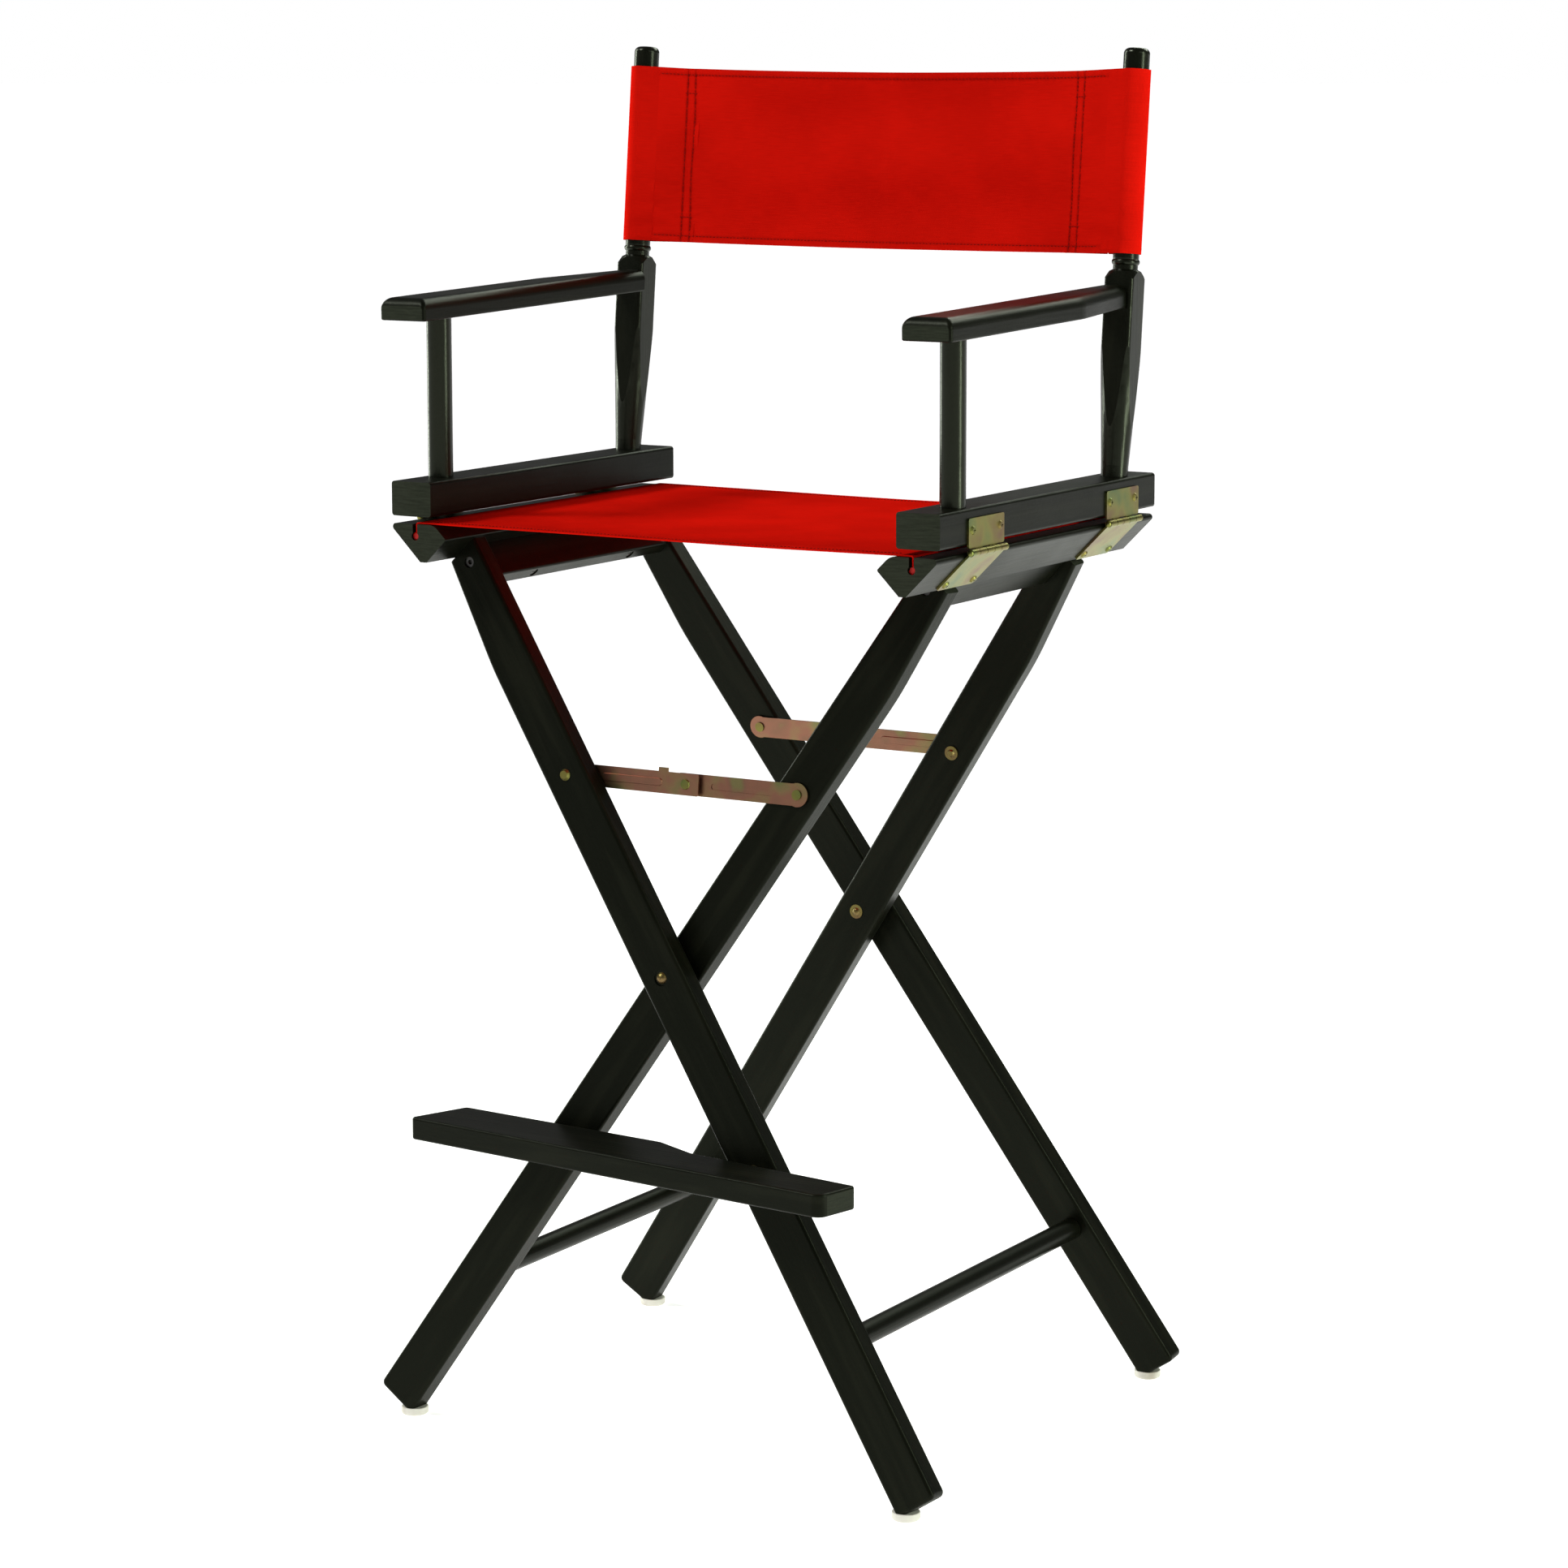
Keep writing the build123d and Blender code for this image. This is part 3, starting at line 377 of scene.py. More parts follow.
@dataclass(frozen=True)
class SewingThread:
    """Twisted polyester thread, a little darker than the canvas."""

    name: str = "red_thread"
    sheen_colour: tuple[float, float, float] = (0.30, 0.007, 0.004)
    colour: tuple[float, float, float] = (0.130, 0.0030, 0.0020)

    def material(self) -> bpy.types.Material:
        """Fine noise stands for the twist."""
        graph = Graph(self.name)
        twist = graph.noise(graph.object_coordinates(), 2600.0, 1.0)
        graph.set(Base_Color=graph.mix(twist, self.colour, self.sheen_colour))
        graph.set(Roughness=twist * 0.2 + 0.6, Specular_IOR_Level=0.05)
        graph.set(Normal=graph.bump(twist, 0.0001, 0.5))
        return graph.material


# ------------------------------------------------------------------------------ surfaces
Surface = Callable[[np.ndarray, np.ndarray], np.ndarray]


def grid_mesh(
    name: str, surface: Surface, u: np.ndarray, v: np.ndarray, seam_shade: Surface | None = None
) -> bpy.types.Object:
    """A sheet from a function of two parameters.

    Args:
        name: the new object's name.
        surface: gives points (..., 3) in metres for arrays of u and v, in metres of cloth.
        u: parameter values along the first direction.
        v: parameter values along the second direction.
        seam_shade: painted shade at each point, from 0 to 1, that darkens the cloth along the seams and hems.

    Returns:
        An object of smooth quads, with a "cloth" UV map in metres of cloth.
    """
    uu, vv = np.meshgrid(u, v, indexing="ij")
    points = surface(uu, vv).reshape(-1, 3)
    rows, columns = len(u), len(v)
    corner = (np.arange(rows - 1)[:, None] * columns + np.arange(columns - 1)[None, :]).reshape(-1)
    quads = np.stack([corner, corner + columns, corner + columns + 1, corner + 1], axis=1)
    mesh = bpy.data.meshes.new(name)
    mesh.vertices.add(len(points))
    mesh.vertices.foreach_set("co", points.astype(np.float32).reshape(-1))
    mesh.loops.add(quads.size)
    mesh.loops.foreach_set("vertex_index", quads.reshape(-1).astype(np.int32))
    mesh.polygons.add(len(quads))
    mesh.polygons.foreach_set("loop_start", np.arange(0, quads.size, 4, dtype=np.int32))
    mesh.polygons.foreach_set("use_smooth", np.ones(len(quads), dtype=bool))
    layer = mesh.uv_layers.new(name="cloth")
    flat = np.stack([uu.reshape(-1), vv.reshape(-1)], axis=1)[quads.reshape(-1)]
    layer.data.foreach_set("uv", flat.astype(np.float32).reshape(-1))
    # painted shade along the seams and hems, for the canvas material to darken the cloth
    if seam_shade is not None:
        pull = mesh.attributes.new("seam_shade", "FLOAT", "POINT")
        pull.data.foreach_set("value", seam_shade(uu, vv).reshape(-1).astype(np.float32))
    mesh.update(calc_edges=True)
    mesh.validate()
    piece = bpy.data.objects.new(name, mesh)
    bpy.context.scene.collection.objects.link(piece)
    return piece


def thicken(piece: bpy.types.Object, thickness: float) -> None:
    """Give a sheet its thickness, half to each side of its surface."""
    solid = piece.modifiers.new("thickness", "SOLIDIFY")
    solid.thickness = thickness
    solid.offset = 0.0
    solid.use_quality_normals = True
    bpy.context.view_layer.update()
    evaluated = piece.evaluated_get(bpy.context.evaluated_depsgraph_get())
    finished = bpy.data.meshes.new_from_object(evaluated)
    finished.set_sharp_from_angle(angle=math.radians(50))
    piece.modifiers.clear()
    piece.data = finished


def stitch_mesh(
    name: str, starts: np.ndarray, ends: np.ndarray, normals: np.ndarray, radius: float
) -> bpy.types.Object:
    """Sewn stitches as one mesh of short humped threads.

    Each stitch is a tube from start to end whose middle rises along the normal as half a sine wave,
    and whose ends narrow to a point as the square root of that wave.

    Args:
        name: the new object's name.
        starts: the stitches' first points, (count, 3), in metres.
        ends: their last points.
        normals: unit normals of the cloth.
        radius: the thread's radius.

    Returns:
        The stitches' object.
    """
    rings, sides = 5, 6
    share = np.linspace(0.0, 1.0, rings)
    wave = np.sin(np.pi * share)
    axis = ends - starts
    axis = axis / np.linalg.norm(axis, axis=1, keepdims=True)
    beside = np.cross(normals, axis)
    centre = starts[:, None] + (ends - starts)[:, None] * share[None, :, None]
    centre = centre + normals[:, None] * (wave * radius * 1.1)[None, :, None]
    thick = radius * np.sqrt(np.clip(wave, 0.04, 1.0))
    angle = 2 * np.pi * np.arange(sides) / sides
    round_part = (
        beside[:, None, None] * np.cos(angle)[None, None, :, None]
        + normals[:, None, None] * np.sin(angle)[None, None, :, None]
    )
    points = centre[:, :, None] + round_part * thick[None, :, None, None]
    count = len(starts)
    ring = np.arange(rings - 1)[:, None] * sides
    side = np.arange(sides)[None, :]
    after = (side + 1) % sides
    quads = np.stack([ring + side, ring + after, ring + sides + after, ring + sides + side], axis=-1)
    quads = quads.reshape(-1, 4)
    caps = np.stack([np.arange(sides)[::-1], (rings - 1) * sides + np.arange(sides)])
    block = rings * sides
    offsets = np.arange(count)[:, None, None] * block
    faces = (quads[None] + offsets).reshape(-1, 4).tolist()
    faces += (caps[None] + offsets).reshape(-1, sides).tolist()
    mesh = bpy.data.meshes.new(name)
    mesh.from_pydata(points.reshape(-1, 3).tolist(), [], faces)
    mesh.polygons.foreach_set("use_smooth", np.ones(len(mesh.polygons), dtype=bool))
    mesh.update()
    piece = bpy.data.objects.new(name, mesh)
    bpy.context.scene.collection.objects.link(piece)
    return piece


def bell(value: np.ndarray, centre: float, width: float) -> np.ndarray:
    """A smooth hump of height 1: the exponential of minus the squared distance in widths."""
    return np.exp(-(((value - centre) / width) ** 2))


def smooth_step(value: np.ndarray, low: float, high: float) -> np.ndarray:
    """0 below low and 1 above high, by the cubic 3t^2 - 2t^3 between."""
    share = np.clip((value - low) / (high - low), 0.0, 1.0)
    return share * share * (3 - 2 * share)


def dress(piece: bpy.types.Object, material: bpy.types.Material) -> None:
    """Give a piece one material."""
    piece.data.materials.clear()
    piece.data.materials.append(material)


# ------------------------------------------------------------------------------ back sling
@dataclass
class BackSling:
    """The canvas back: a panel between two sleeves on the posts' dowels."""

    canvas: bpy.types.Material
    thread: bpy.types.Material
    thickness: float = 0.9 * MM
    dowel_clearance: float = 1.0 * MM
    stitch_x: tuple[float, float] = (0.1885, 0.1960)
    split_x: float = 0.222
    split_gap: float = 0.8 * MM
    lean: float = 0.101
    dowel_radius: float = 0.011
    hem: float = 5.5 * MM
    stitch_pitch: float = 3.4 * MM
    stitch_length: float = 2.7 * MM
    tack_rise: float = 22.0 * MM

    def __post_init__(self) -> None:
        """Take the sling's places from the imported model."""
        low, high = (np.array(corner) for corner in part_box("back_canvas"))
        post_low, post_high = (np.array(corner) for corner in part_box("rear_post_right"))
        self.post_x = (post_low[0] + post_high[0]) / 2
        stretch = math.hypot(1.0, self.lean)
        self.along = np.array([0.0, self.lean, 1.0]) / stretch
        self.outward = np.array([0.0, 1.0, -self.lean]) / stretch
        reach = (high[0] - self.post_x) * self.outward[2]
        low_z = low[2] - reach
        self.height = (high[2] + reach - low_z) * stretch
        top_y = post_high[1] - self.dowel_radius
        self.base = np.array([0.0, top_y - self.lean * (post_high[2] - low_z), low_z])
        self.meet_x = sum(self.stitch_x) / 2
        self.ring = self.dowel_radius + self.dowel_clearance + self.thickness / 2
        run = self.post_x - self.meet_x
        self.tangent = math.asin(self.ring / run)
        self.flat_run = math.sqrt(run**2 - self.ring**2)
        self.split_run = (self.split_x - self.meet_x) / math.cos(self.tangent)

    def section(self, cloth: np.ndarray) -> tuple[np.ndarray, np.ndarray]:
        """The sleeve's section: straight to the post, round it, and straight back.

        Args:
            cloth: distance along the cloth from the stitch line, front layer first.

        Returns:
            x and distance behind the middle plane.
        """
        turn = math.pi + 2 * self.tangent
        arc = self.ring * turn
        on_arc = np.clip((cloth - self.flat_run) / self.ring, 0, turn)
        angle = -math.pi / 2 - self.tangent + on_arc
        arc_x = self.post_x + self.ring * np.cos(angle)
        arc_y = self.ring * np.sin(angle)
        before = np.clip(cloth, 0, self.flat_run)
        after = np.clip(2 * self.flat_run + arc - cloth, 0, self.flat_run)
        front_x = self.meet_x + before * math.cos(self.tangent)
        front_y = -before * math.sin(self.tangent)
        back_x = self.meet_x + after * math.cos(self.tangent)
        back_y = after * math.sin(self.tangent)
        is_front = cloth <= self.flat_run
        is_back = cloth >= self.flat_run + arc
        x = np.where(is_front, front_x, np.where(is_back, back_x, arc_x))
        y = np.where(is_front, front_y, np.where(is_back, back_y, arc_y))
        return x, y

    def slack(self, x: np.ndarray, rise: np.ndarray) -> np.ndarray:
        """How far the hanging cloth bows backwards: a parabola, two slow diagonal waves and creases."""
        span = np.clip(1 - (x / self.meet_x) ** 2, 0, 1)
        share = rise / self.height
        bow = 7.0 * span * (0.75 + 0.35 * np.sin(math.pi * share))
        waves = 4.6 * np.sqrt(span) * np.sin(2 * math.pi * 1.7 * (share - 0.45 * x) - 0.34)
        waves = waves + 0.7 * span * np.sin(2 * math.pi * (x / 0.19 + share * 0.8) + 2.1)
        crease = -0.45 * bell(x, 0.008, 0.004) * np.sin(math.pi * share)
        return (bow + waves + crease) * MM

    def relief(self, x: np.ndarray, rise: np.ndarray) -> np.ndarray:
        """Fine relief of the front face, up to about half a millimetre high.

        Hems stand up by smooth steps; their stitch lines and the seams are pulled in as bells; the cloth
        is a little higher where it lies double; puckers are sine waves faded by bells beside the seams;
        and small slanting folds lie low down beside the posts.

        Args:
            x: places across the chair, in metres.
            rise: distances up the lean from the lower edge.

        Returns:
            The height of the relief, in metres.
        """
        side_x = np.abs(x)
        edge = np.minimum(rise, self.height - rise)
        hem = 0.45 * (1 - smooth_step(edge, self.hem, self.hem + 1.5 * MM))
        groove = -0.35 * bell(edge, self.hem, 0.9 * MM)
        seams = sum(-0.40 * bell(side_x, seam_x, 0.9 * MM) for seam_x in self.stitch_x)
        flap = 0.35 * smooth_step(side_x, self.stitch_x[0] - 3 * MM, self.stitch_x[0])
        inside = bell(side_x, self.stitch_x[0] - 5 * MM, 7 * MM)
        outside = bell(side_x, self.stitch_x[1] + 6 * MM, 8 * MM)
        pucker = 0.16 * np.sin(2 * math.pi * rise / (7.3 * MM) + 90 * side_x) * (inside + outside)
        hem_pucker = 0.14 * np.sin(2 * math.pi * x / (8.1 * MM) + 0.7) * bell(edge, self.hem, 5 * MM)
        near_post = smooth_step(side_x, self.stitch_x[1], self.split_x - 7 * MM)
        near_bottom = 1 - smooth_step(rise, 35 * MM, 85 * MM)
        folds = 0.55 * np.sin(2 * math.pi * rise / (19 * MM) + 55 * x) * near_post * near_bottom
        return (hem + groove + seams + flap + pucker + hem_pucker + folds) * MM

    def painted_seam_shade(self, x: np.ndarray, rise: np.ndarray) -> np.ndarray:
        """Painted shade along the seams and hems, where the stitches pull grooves: bells 1.1 mm wide, broken
        up by two sines along them.
        """
        edge = np.minimum(rise, self.height - rise)
        beat = np.sin(2 * math.pi * rise / (11 * MM)) * np.sin(2 * math.pi * rise / (37 * MM))
        seams = sum(bell(np.abs(x), seam_x, 1.1 * MM) for seam_x in self.stitch_x) * (0.62 + 0.30 * beat)
        return np.clip(seams + 0.38 * bell(edge, self.hem, 1.1 * MM), 0, 1)

    def droop(self, x: np.ndarray, rise: np.ndarray) -> np.ndarray:
        """The edges' sag between the posts, a parabola that is deeper at the top hem."""
        span = np.clip(1 - (x / self.post_x) ** 2, 0, 1)
        return -span * (1.2 + 2.2 * rise / self.height) * MM

    def place(self, x: np.ndarray, depth: np.ndarray, rise: np.ndarray) -> np.ndarray:
        """Points on the leaning back.

        Args:
            x: places across the chair.
            depth: distances behind the posts' middle plane.
            rise: distances up the lean from the lower edge.

        Returns:
            The points, (..., 3): the base plus rise along the lean plus depth square to it.
        """
        lifted = rise + self.droop(x, rise)
        point = self.base + lifted[..., None] * self.along + depth[..., None] * self.outward
        point[..., 0] = x
        return point

    def panel_surface(self, x: np.ndarray, rise: np.ndarray) -> np.ndarray:
        """The front layer between the sleeves, straight towards each post past the stitches."""
        beyond = np.clip(np.abs(x) - self.meet_x, 0, None)
        depth = -beyond * math.tan(self.tangent)
        return self.place(x, depth + self.slack(x, rise) - self.relief(x, rise), rise)

    def flap_surface(self, side: int) -> Surface:
        """The layer behind the front one, from its sewn edge towards one post."""

        def surface(x: np.ndarray, rise: np.ndarray) -> np.ndarray:
            beyond = np.clip(np.abs(x) - self.meet_x, 0, None)
            depth = beyond * math.tan(self.tangent) + 1.3 * MM * (1 - smooth_step(beyond, 0, 12 * MM))
            return self.place(side * x, depth + self.slack(x, rise), rise)

        return surface

    def sleeve_surface(self, side: int) -> Surface:
        """The cloth round one post, between the two seams with the panel."""

        def surface(cloth: np.ndarray, rise: np.ndarray) -> np.ndarray:
            x, depth = self.section(cloth)
            front = 1 - smooth_step(cloth, self.flat_run, self.flat_run + self.ring * 1.2)
            return self.place(side * x, depth - self.relief(x, rise) * front, rise)

        return surface

    def build(self) -> None:
        """Make the panel, its back flaps, the sleeves and all stitches, and set how they move."""
        rise = np.linspace(0.0, self.height, 103)
        across = np.linspace(-self.split_x, self.split_x, 445)
        # the panel carries painted shade along its seams and hems
        panel = grid_mesh("back_panel", self.panel_surface, across, rise, self.painted_seam_shade)
        turn = self.ring * (math.pi + 2 * self.tangent)
        whole = 2 * self.flat_run + turn
        round_post = np.linspace(self.split_run, whole - self.split_run, 76)
        slim = np.linspace(self.stitch_x[0] - 4 * MM, self.split_x - self.split_gap, 26)
        flaps = []
        for side, word, body in ((-1, "left", "left_arm"), (1, "right", "right_arm")):
            sleeve = grid_mesh(f"back_sleeve_{word}", self.sleeve_surface(side), round_post, rise)
            self.sew(sleeve)
            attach(sleeve, body)
            whole - 2 * self.split_run
            flap = grid_mesh(f"back_flap_{word}", self.flap_surface(side), slim, rise)
            self.sew(flap)
            flaps.append(flap)
        self.sew(panel)
        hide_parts("back_canvas")
        2 * self.split_x
        for piece in (panel, *flaps, self.stitches()):
            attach(piece, "left_arm")
            -self.split_x
            self.folded_share()
            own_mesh(piece)

    def sew(self, piece: bpy.types.Object) -> None:
        """Give a sheet of the back its thickness and its canvas."""
        thicken(piece, self.thickness)
        dress(piece, self.canvas)
        LOG.info("built %s", piece.name)

    def folded_share(self) -> float:
        """The panel's width left when the arms have come together.

        Both arm hinges turn about the crossing by half the fold, so their distance apart goes from
        twice R sin(a) to twice R sin(a - fold / 2).
        """
        joints = {joint["name"]: joint for joint in frame["joints"]}
        fold = joints["fold"]
        hinge = joints["right_arm_hinge"]["pos_m"]
        x, z = hinge[0] - fold["pos_m"][0], hinge[2] - fold["pos_m"][2]
        radius, lean = math.hypot(x, z), math.atan2(x, z)
        closed = 2 * radius * math.sin(lean - FOLD_LIMIT / 2)
        return 1 - (2 * x - closed) / (2 * self.split_x)

    def stitches(self) -> bpy.types.Object:
        """Two seams beside each sleeve, one along each hem, and tacks across the seams' ends."""
        lines = []
        for side in (-1, 1):
            for seam_x in self.stitch_x:
                rise = np.arange(3 * MM, self.height - 3 * MM - self.stitch_length, self.stitch_pitch)
                start = np.stack([np.full_like(rise, side * seam_x), rise], axis=1)
                lines.append((start, start + [0, self.stitch_length]))
        hem_end = self.split_x - 2 * MM
        x = np.arange(-hem_end, hem_end - self.stitch_length, self.stitch_pitch)
        for level in (self.hem, self.height - self.hem):
            start = np.stack([x, np.full_like(x, level)], axis=1)
            lines.append((start, start + [self.stitch_length, 0]))
        tack_pitch = self.stitch_length + 0.2 * MM
        tack = np.arange(self.stitch_x[0] - 2 * MM, self.stitch_x[1] + 1 * MM, tack_pitch)
        for side in (-1, 1):
            for level in (self.tack_rise, self.height - self.tack_rise):
                start = np.stack([side * tack, np.full_like(tack, level)], axis=1)
                lines.append((start, start + [side * self.stitch_length, 0.3 * MM]))
        start = np.concatenate([line[0] for line in lines])
        end = np.concatenate([line[1] for line in lines])
        lift = -self.outward * (self.thickness / 2)
        first = self.panel_surface(start[:, 0], start[:, 1]) + lift
        last = self.panel_surface(end[:, 0], end[:, 1]) + lift
        normals = np.tile(-self.outward, (len(first), 1))
        piece = stitch_mesh("back_stitches", first, last, normals, THREAD_RADIUS)
        dress(piece, self.thread)
        return piece


# ------------------------------------------------------------------------------ seat sling
@dataclass
class SeatSling:
    """The canvas seat: it leaves one rail's slot, crosses with a slight sag and enters the other."""

    canvas: bpy.types.Material
    thread: bpy.types.Material
    thickness: float = 1.0 * MM
    sag: float = 1.8 * MM
    hem: float = 9.0 * MM
    bend: float = 1.7 * MM
    stitch_pitch: float = 3.4 * MM
    stitch_length: float = 2.7 * MM

    def __post_init__(self) -> None:
        """Take the seat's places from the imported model."""
        low, high = (np.array(corner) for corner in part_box("seat_canvas"))
        rod_low, rod_high = (np.array(corner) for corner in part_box("seat_rod_right"))
        self.middle_y = (low[1] + high[1]) / 2
        self.half_depth = (high[1] - low[1]) / 2 - 0.5 * MM
        self.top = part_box("seat_rail_right")[1][2] + self.thickness / 2 + 0.3 * MM
        self.rod = (rod_low + rod_high) / 2
        self.rod_ring = (rod_high[0] - rod_low[0]) / 2 + self.thickness / 2 + 0.05 * MM
        self.rail_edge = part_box("seat_rail_right")[0][0] + 16 * MM

    def profile(self) -> tuple[np.ndarray, np.ndarray]:
        """Half the seat's section, from the chair's middle to the end round the rod.

        The parts are a level line to the slot, a quarter bend, a straight down the slot and most of a
        turn round the rod.  The sag comes later, in place.

        Returns:
            x, and z above the seat's top, both in metres.
        """
        slot_x = self.rod[0]
        turn_x = slot_x - self.bend
        span = np.linspace(0, turn_x, 150)
        quarter = np.linspace(0, math.pi / 2, 8)[1:]
        bend_x = turn_x + self.bend * np.sin(quarter)
        bend_z = -self.bend * (1 - np.cos(quarter))
        rod_drop = self.rod[2] - self.top
        down = np.linspace(-self.bend, rod_drop + self.rod_ring + 0.2 * MM, 7)[1:]
        angle = np.linspace(math.pi / 2, -math.pi * 0.95, 16)
        ring_x = slot_x + self.rod_ring * np.cos(angle)
        ring_z = rod_drop + self.rod_ring * np.sin(angle)
        x = np.concatenate([span, bend_x, np.full(len(down), slot_x), ring_x])
        z = np.concatenate([np.zeros_like(span), bend_z, down, ring_z])
        return x, z

    def build(self) -> None:
        """Make the seat and its hem stitches."""
        half_x, half_z = self.profile()
        x = np.concatenate([-half_x[:0:-1], half_x])
        z = np.concatenate([half_z[:0:-1], half_z])
        distance = np.concatenate([[0], np.cumsum(np.hypot(np.diff(x), np.diff(z)))])
        depth = np.linspace(-self.half_depth, self.half_depth, 253)

        def surface(cloth: np.ndarray, y: np.ndarray) -> np.ndarray:
            """Points on the seat for a distance along its section and a place in depth."""
            px = np.interp(cloth, distance, x)
            pz = np.interp(cloth, distance, z)
            return self.place(px, pz, y)

        piece = grid_mesh("seat_sling", surface, distance, depth)
        thicken(piece, self.thickness)
        dress(piece, self.canvas)
        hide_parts("seat_canvas")
        for part in (piece, self.stitches()):
            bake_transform(part)

    def place(self, x: np.ndarray, z: np.ndarray, y: np.ndarray) -> np.ndarray:
        """Points from the section's x and z and a depth, with sag, waves, hems and curved edges.

        The sag is a parabola between the rails; a slow slanting wave makes it uneven; the front and
        back edges draw in by a parabola of 2 mm; each hem is raised and its stitch line pulled in.

        Args:
            x: the section's x.
            z: the section's height above the seat's top.
            y: the place in depth, from the seat's middle.

        Returns:
            The points, (..., 3).
        """
        span = np.clip(1 - (x / self.rail_edge) ** 2, 0, 1)
        edge = self.half_depth - np.abs(y)
        sag = self.sag * (0.78 + 0.22 * smooth_step(edge, 0, 0.06))
        waves = 0.35 * MM * np.sin(2 * math.pi * (y / 0.31 + x / 0.42) + 0.4) * span
        hem = 0.40 * MM * (1 - smooth_step(edge, self.hem, self.hem + 1.5 * MM))
        groove = -0.35 * MM * bell(edge, self.hem, 0.9 * MM)
        pucker = 0.13 * MM * np.sin(2 * math.pi * x / (8.3 * MM)) * bell(edge, self.hem, 5 * MM) * span
        height = self.top + z - sag * span + waves + (hem + groove + pucker) * span
        drawn = self.middle_y + y * (1 - 2.0 * MM * span / self.half_depth)
        return np.stack([x, drawn, height], axis=-1)

    def stitches(self) -> bpy.types.Object:
        """One seam along each hem, on the upper face."""
        x = np.arange(-self.rail_edge, self.rail_edge - self.stitch_length, self.stitch_pitch)
        firsts, lasts = [], []
        for side in (-1, 1):
            y = np.full_like(x, side * (self.half_depth - self.hem))
            zero = np.zeros_like(x)
            firsts.append(self.place(x, zero, y))
            lasts.append(self.place(x + self.stitch_length, zero, y))
        lift = np.array([0, 0, self.thickness / 2])
        first, last = np.concatenate(firsts) + lift, np.concatenate(lasts) + lift
        normals = np.tile([0.0, 0.0, 1.0], (len(first), 1))
        piece = stitch_mesh("seat_stitches", first, last, normals, THREAD_RADIUS)
        dress(piece, self.thread)
        return piece


# ------------------------------------------------------------------------------ wood and hardware
@dataclass
class CarriedParts:
    """The wood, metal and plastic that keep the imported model's shapes."""

    hinge: bpy.types.Material
    brace: bpy.types.Material
    nylon: bpy.types.Material
    rod: bpy.types.Material
    painted: bpy.types.Material

    def dress_all(self) -> None:
        """Give every node that stays visible the finish of its kind."""
        woods = {grain: BlackLacquer(grain).material() for grain in Grain if grain is not Grain.UPRIGHT}
        woods[Grain.UPRIGHT] = BlackLacquer(Grain.UPRIGHT, roughness=0.22, shine=0.24).material()
        kinds = {
            "outer_leg": woods[Grain.LEG_DOWN_RIGHT],
            "inner_leg": woods[Grain.LEG_DOWN_LEFT],
            "front_post": woods[Grain.UPRIGHT],
            "rear_post": woods[Grain.UPRIGHT],
            "footrest_board": woods[Grain.ACROSS],
            "seat_rail": woods[Grain.DEPTH],
            "arm_rail": woods[Grain.DEPTH],
            "armrest": woods[Grain.DEPTH],
            "stretcher": woods[Grain.DEPTH],
            "under_board": woods[Grain.DEPTH],
            "glides": self.nylon,
            "seat_rod": self.rod,
            "leg_bolts": self.painted,
            "board_screws": self.painted,
            "brace_link": self.brace,
        }
        for name, node in frame["nodes"].items():
            if name.endswith("canvas"):
                continue
            finish = next((kinds[kind] for kind in kinds if name.startswith(kind)), self.hinge)
            dress(node, finish)
            LOG.info("dressed %s in %s", name, finish.name)


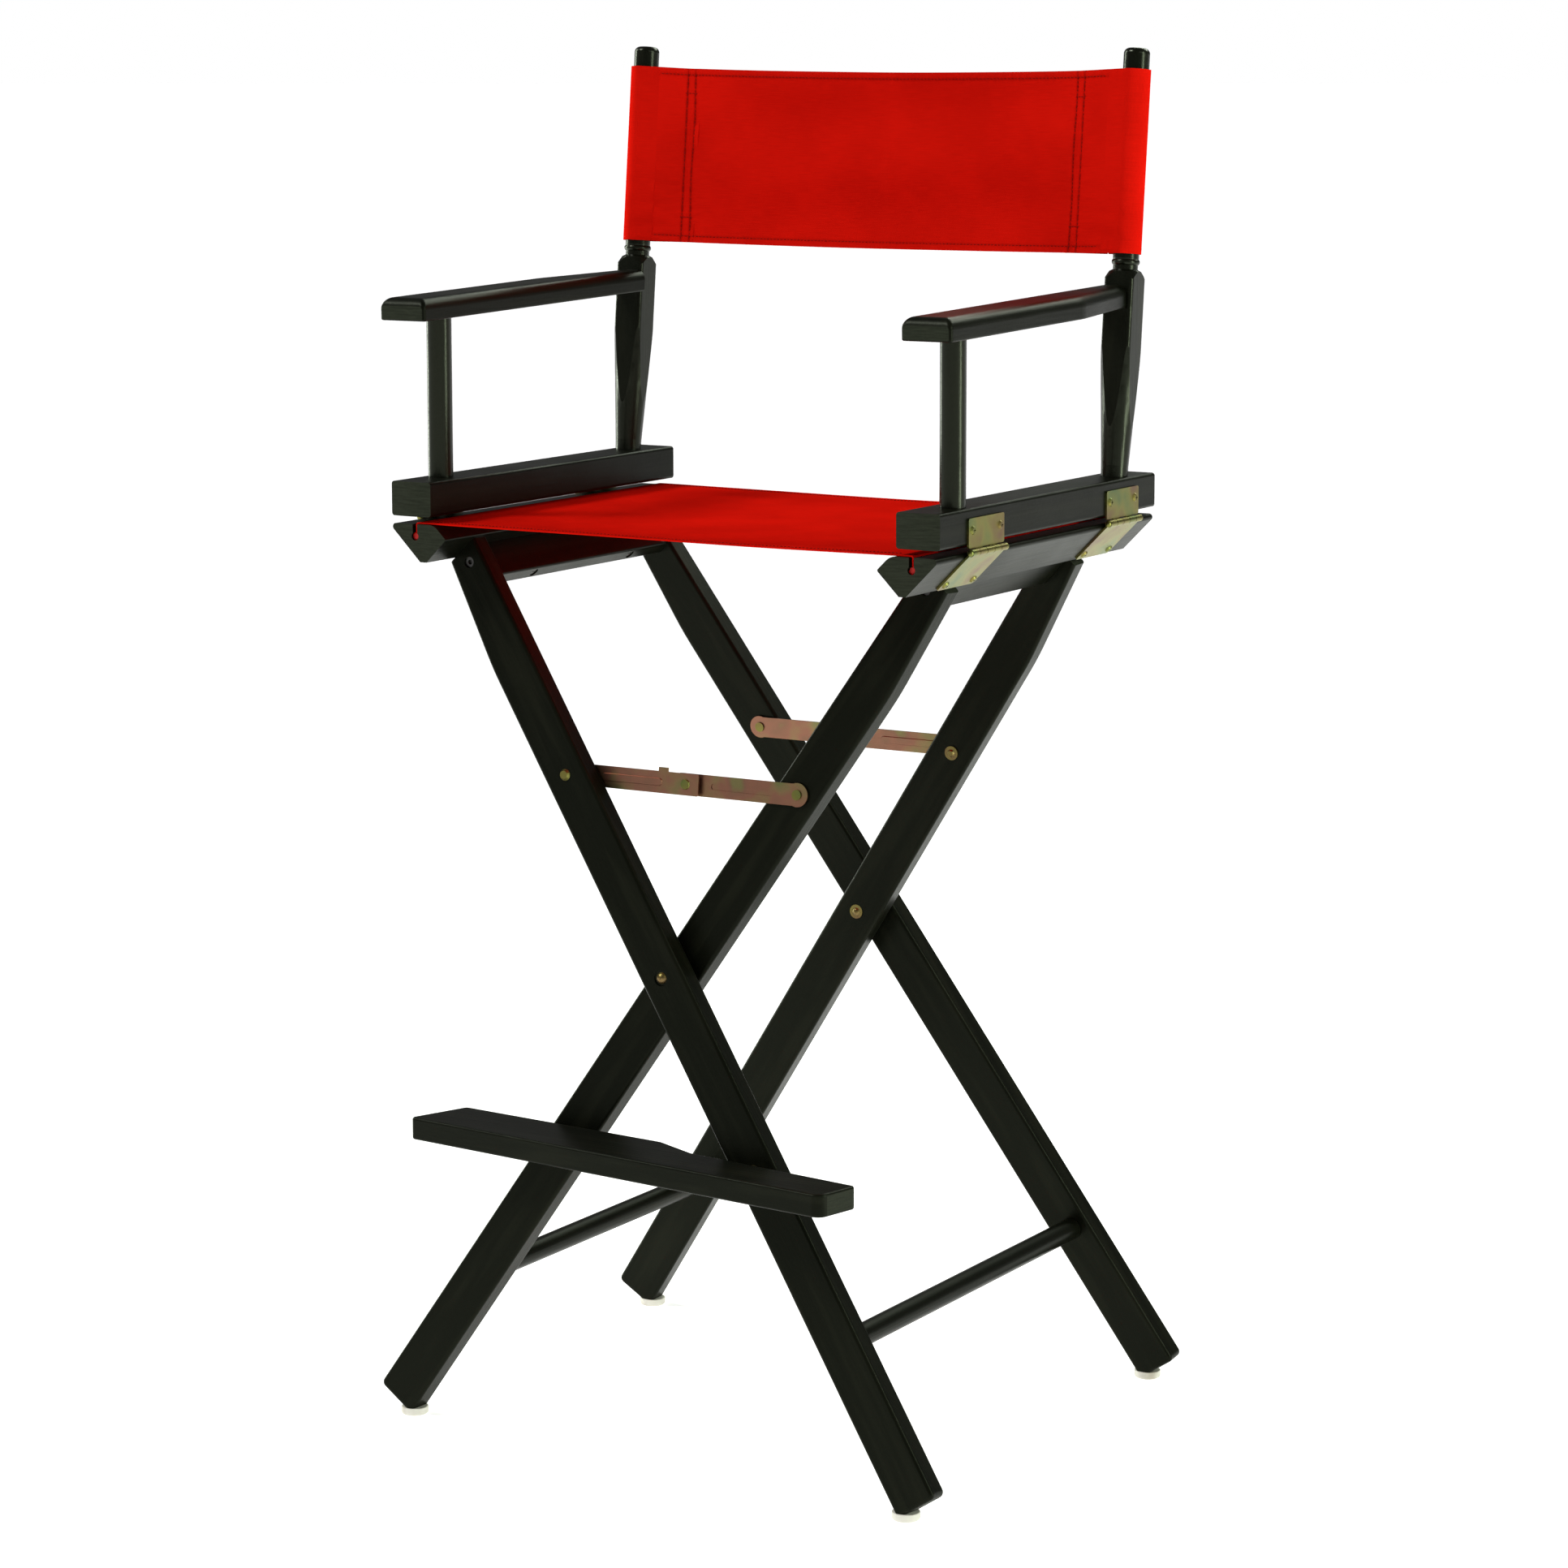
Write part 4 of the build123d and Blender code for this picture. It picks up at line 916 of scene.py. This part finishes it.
# ------------------------------------------------------------------------------ studio
@dataclass
class Studio:
    """A pale floor, a white surround, two soft suns and three long lamps."""

    azimuth: float = math.radians(30.117)
    pitch: float = math.radians(-8.358)
    distance: float = 3.6916
    aside: float = 0.0448
    eye_height: float = 1.1686
    lens: float = 101.6
    shift: tuple[float, float] = (-0.0291, -0.0657)
    sky_light: float = 0.14
    floor_glow: float = 0.52
    strip_colour: tuple[float, float, float] = (0.92, 1.0, 0.86)

    def build(self) -> None:
        """Make the floor, the lights, the surround and the camera."""
        self.floor()
        self.surround()
        self.sun("key", (-0.70, -0.70, 1.00), 1.85, 16.0)
        self.sun("side", (0.90, -0.45, 0.50), 0.10, 20.0)
        self.strip("left_strip", (-2.4, 0.3, 1.1), (0.30, 2.4), 40.0)
        self.strip("right_strip", (2.4, 0.1, 1.1), (0.40, 2.4), 42.0)
        self.strip("top_back", (0.2, 2.4, 2.6), (2.4, 0.7), 36.0)
        self.camera()

    def floor(self) -> None:
        """A wide matt white sheet under the chair."""
        span = np.linspace(-150.0, 150.0, 3)
        floor = grid_mesh("floor", lambda u, v: np.stack([u, v, 0 * u], axis=-1), span, span)
        graph = Graph("floor_white")
        graph.set(Base_Color=(0.94, 0.94, 0.94, 1.0), Roughness=0.9, Specular_IOR_Level=0.0)
        graph.set(Emission_Color=(1.0, 1.0, 1.0, 1.0), Emission_Strength=self.floor_glow)
        dress(floor, graph.material)

    def surround(self) -> None:
        """A sky that looks white but lights the chair only weakly."""
        world = bpy.data.worlds.new("surround")
        world.use_nodes = True
        nodes, links = world.node_tree.nodes, world.node_tree.links
        path = nodes.new("ShaderNodeLightPath")
        strength = nodes.new("ShaderNodeMapRange")
        strength.inputs["To Min"].default_value = self.sky_light
        links.new(path.outputs["Is Camera Ray"], strength.inputs["Value"])
        links.new(strength.outputs[0], nodes["Background"].inputs["Strength"])
        nodes["Background"].inputs["Color"].default_value = (1.0, 1.0, 1.0, 1.0)
        bpy.context.scene.world = world

    def sun(self, name: str, place: Sequence[float], power: float, spread: float) -> None:
        """An even light that comes from the side of place, with shadows softened by spread degrees."""
        data = bpy.data.lights.new(name, "SUN")
        data.energy = power
        data.angle = math.radians(spread)
        self.hang(name, data, place, np.zeros(3))

    def strip(
        self, name: str, place: Sequence[float], size: tuple[float, float], power: float
    ) -> None:
        """A long area light for clean highlights, aimed at the chair's middle.

        Args:
            name: the lamp's name.
            place: where it hangs, in metres.
            size: its width and height.
            power: in watts.
        """
        data = bpy.data.lights.new(name, "AREA")
        data.shape = "RECTANGLE"
        data.size, data.size_y = size
        data.energy = power
        data.color = self.strip_colour
        self.hang(name, data, place, np.array([0.0, 0.0, 0.7]))

    def hang(
        self, name: str, data: bpy.types.Light, place: Sequence[float], target: np.ndarray
    ) -> None:
        """Put a lamp at place and point its -Z at target: tilt from straight down, then heading."""
        lamp = bpy.data.objects.new(name, data)
        bpy.context.scene.collection.objects.link(lamp)
        lamp.location = place
        aim = target - np.array(place)
        level = math.hypot(aim[0], aim[1])
        lamp.rotation_euler = (math.atan2(level, -aim[2]), 0.0, math.atan2(aim[1], aim[0]) - math.pi / 2)

    def camera(self) -> None:
        """A long lens in front of the chair's right corner, a little above the seat."""
        data = bpy.data.cameras.new("camera")
        data.lens = self.lens
        data.shift_x, data.shift_y = self.shift
        data.clip_end = 100.0
        camera = bpy.data.objects.new("camera", data)
        bpy.context.scene.collection.objects.link(camera)
        forward = np.array([-math.sin(self.azimuth), math.cos(self.azimuth)])
        right = np.array([math.cos(self.azimuth), math.sin(self.azimuth)])
        legs_middle = (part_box("outer_leg_front")[0][1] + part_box("outer_leg_rear")[1][1]) / 2
        place = -forward * self.distance + right * self.aside
        camera.location = (place[0], place[1] + legs_middle, self.eye_height)
        camera.rotation_euler = (math.pi / 2 + self.pitch, 0.0, self.azimuth)
        bpy.context.scene.camera = camera
        bpy.context.scene.view_settings.view_transform = "Standard"


def main() -> None:
    """Build every sub-assembly in order, logging the studio, the dressed nodes and the back's sheets."""
    logging.basicConfig(level=logging.INFO, format="%(name)s: %(message)s")
    canvas = CottonCanvas().material()
    thread = SewingThread().material()
    hinge = ZincPlate("hinge_zinc", HINGE_FILM).material()
    brace = ZincPlate("brace_zinc", BRACE_FILM).material()
    nylon = Moulded("white_nylon", (0.74, 0.72, 0.64), (0.50, 0.46, 0.38)).material()
    rod = Moulded("wrapped_rod", (0.48, 0.006, 0.003), (0.30, 0.004, 0.002), 0.75).material()
    painted = Moulded("painted_screw", (0.012, 0.011, 0.008), (0.030, 0.026, 0.018), 0.35).material()
    Studio().build()
    LOG.info("studio built")
    CarriedParts(hinge, brace, nylon, rod, painted).dress_all()
    BackSling(canvas, thread).build()
    SeatSling(canvas, thread).build()


if __name__ == "__main__":
    main()
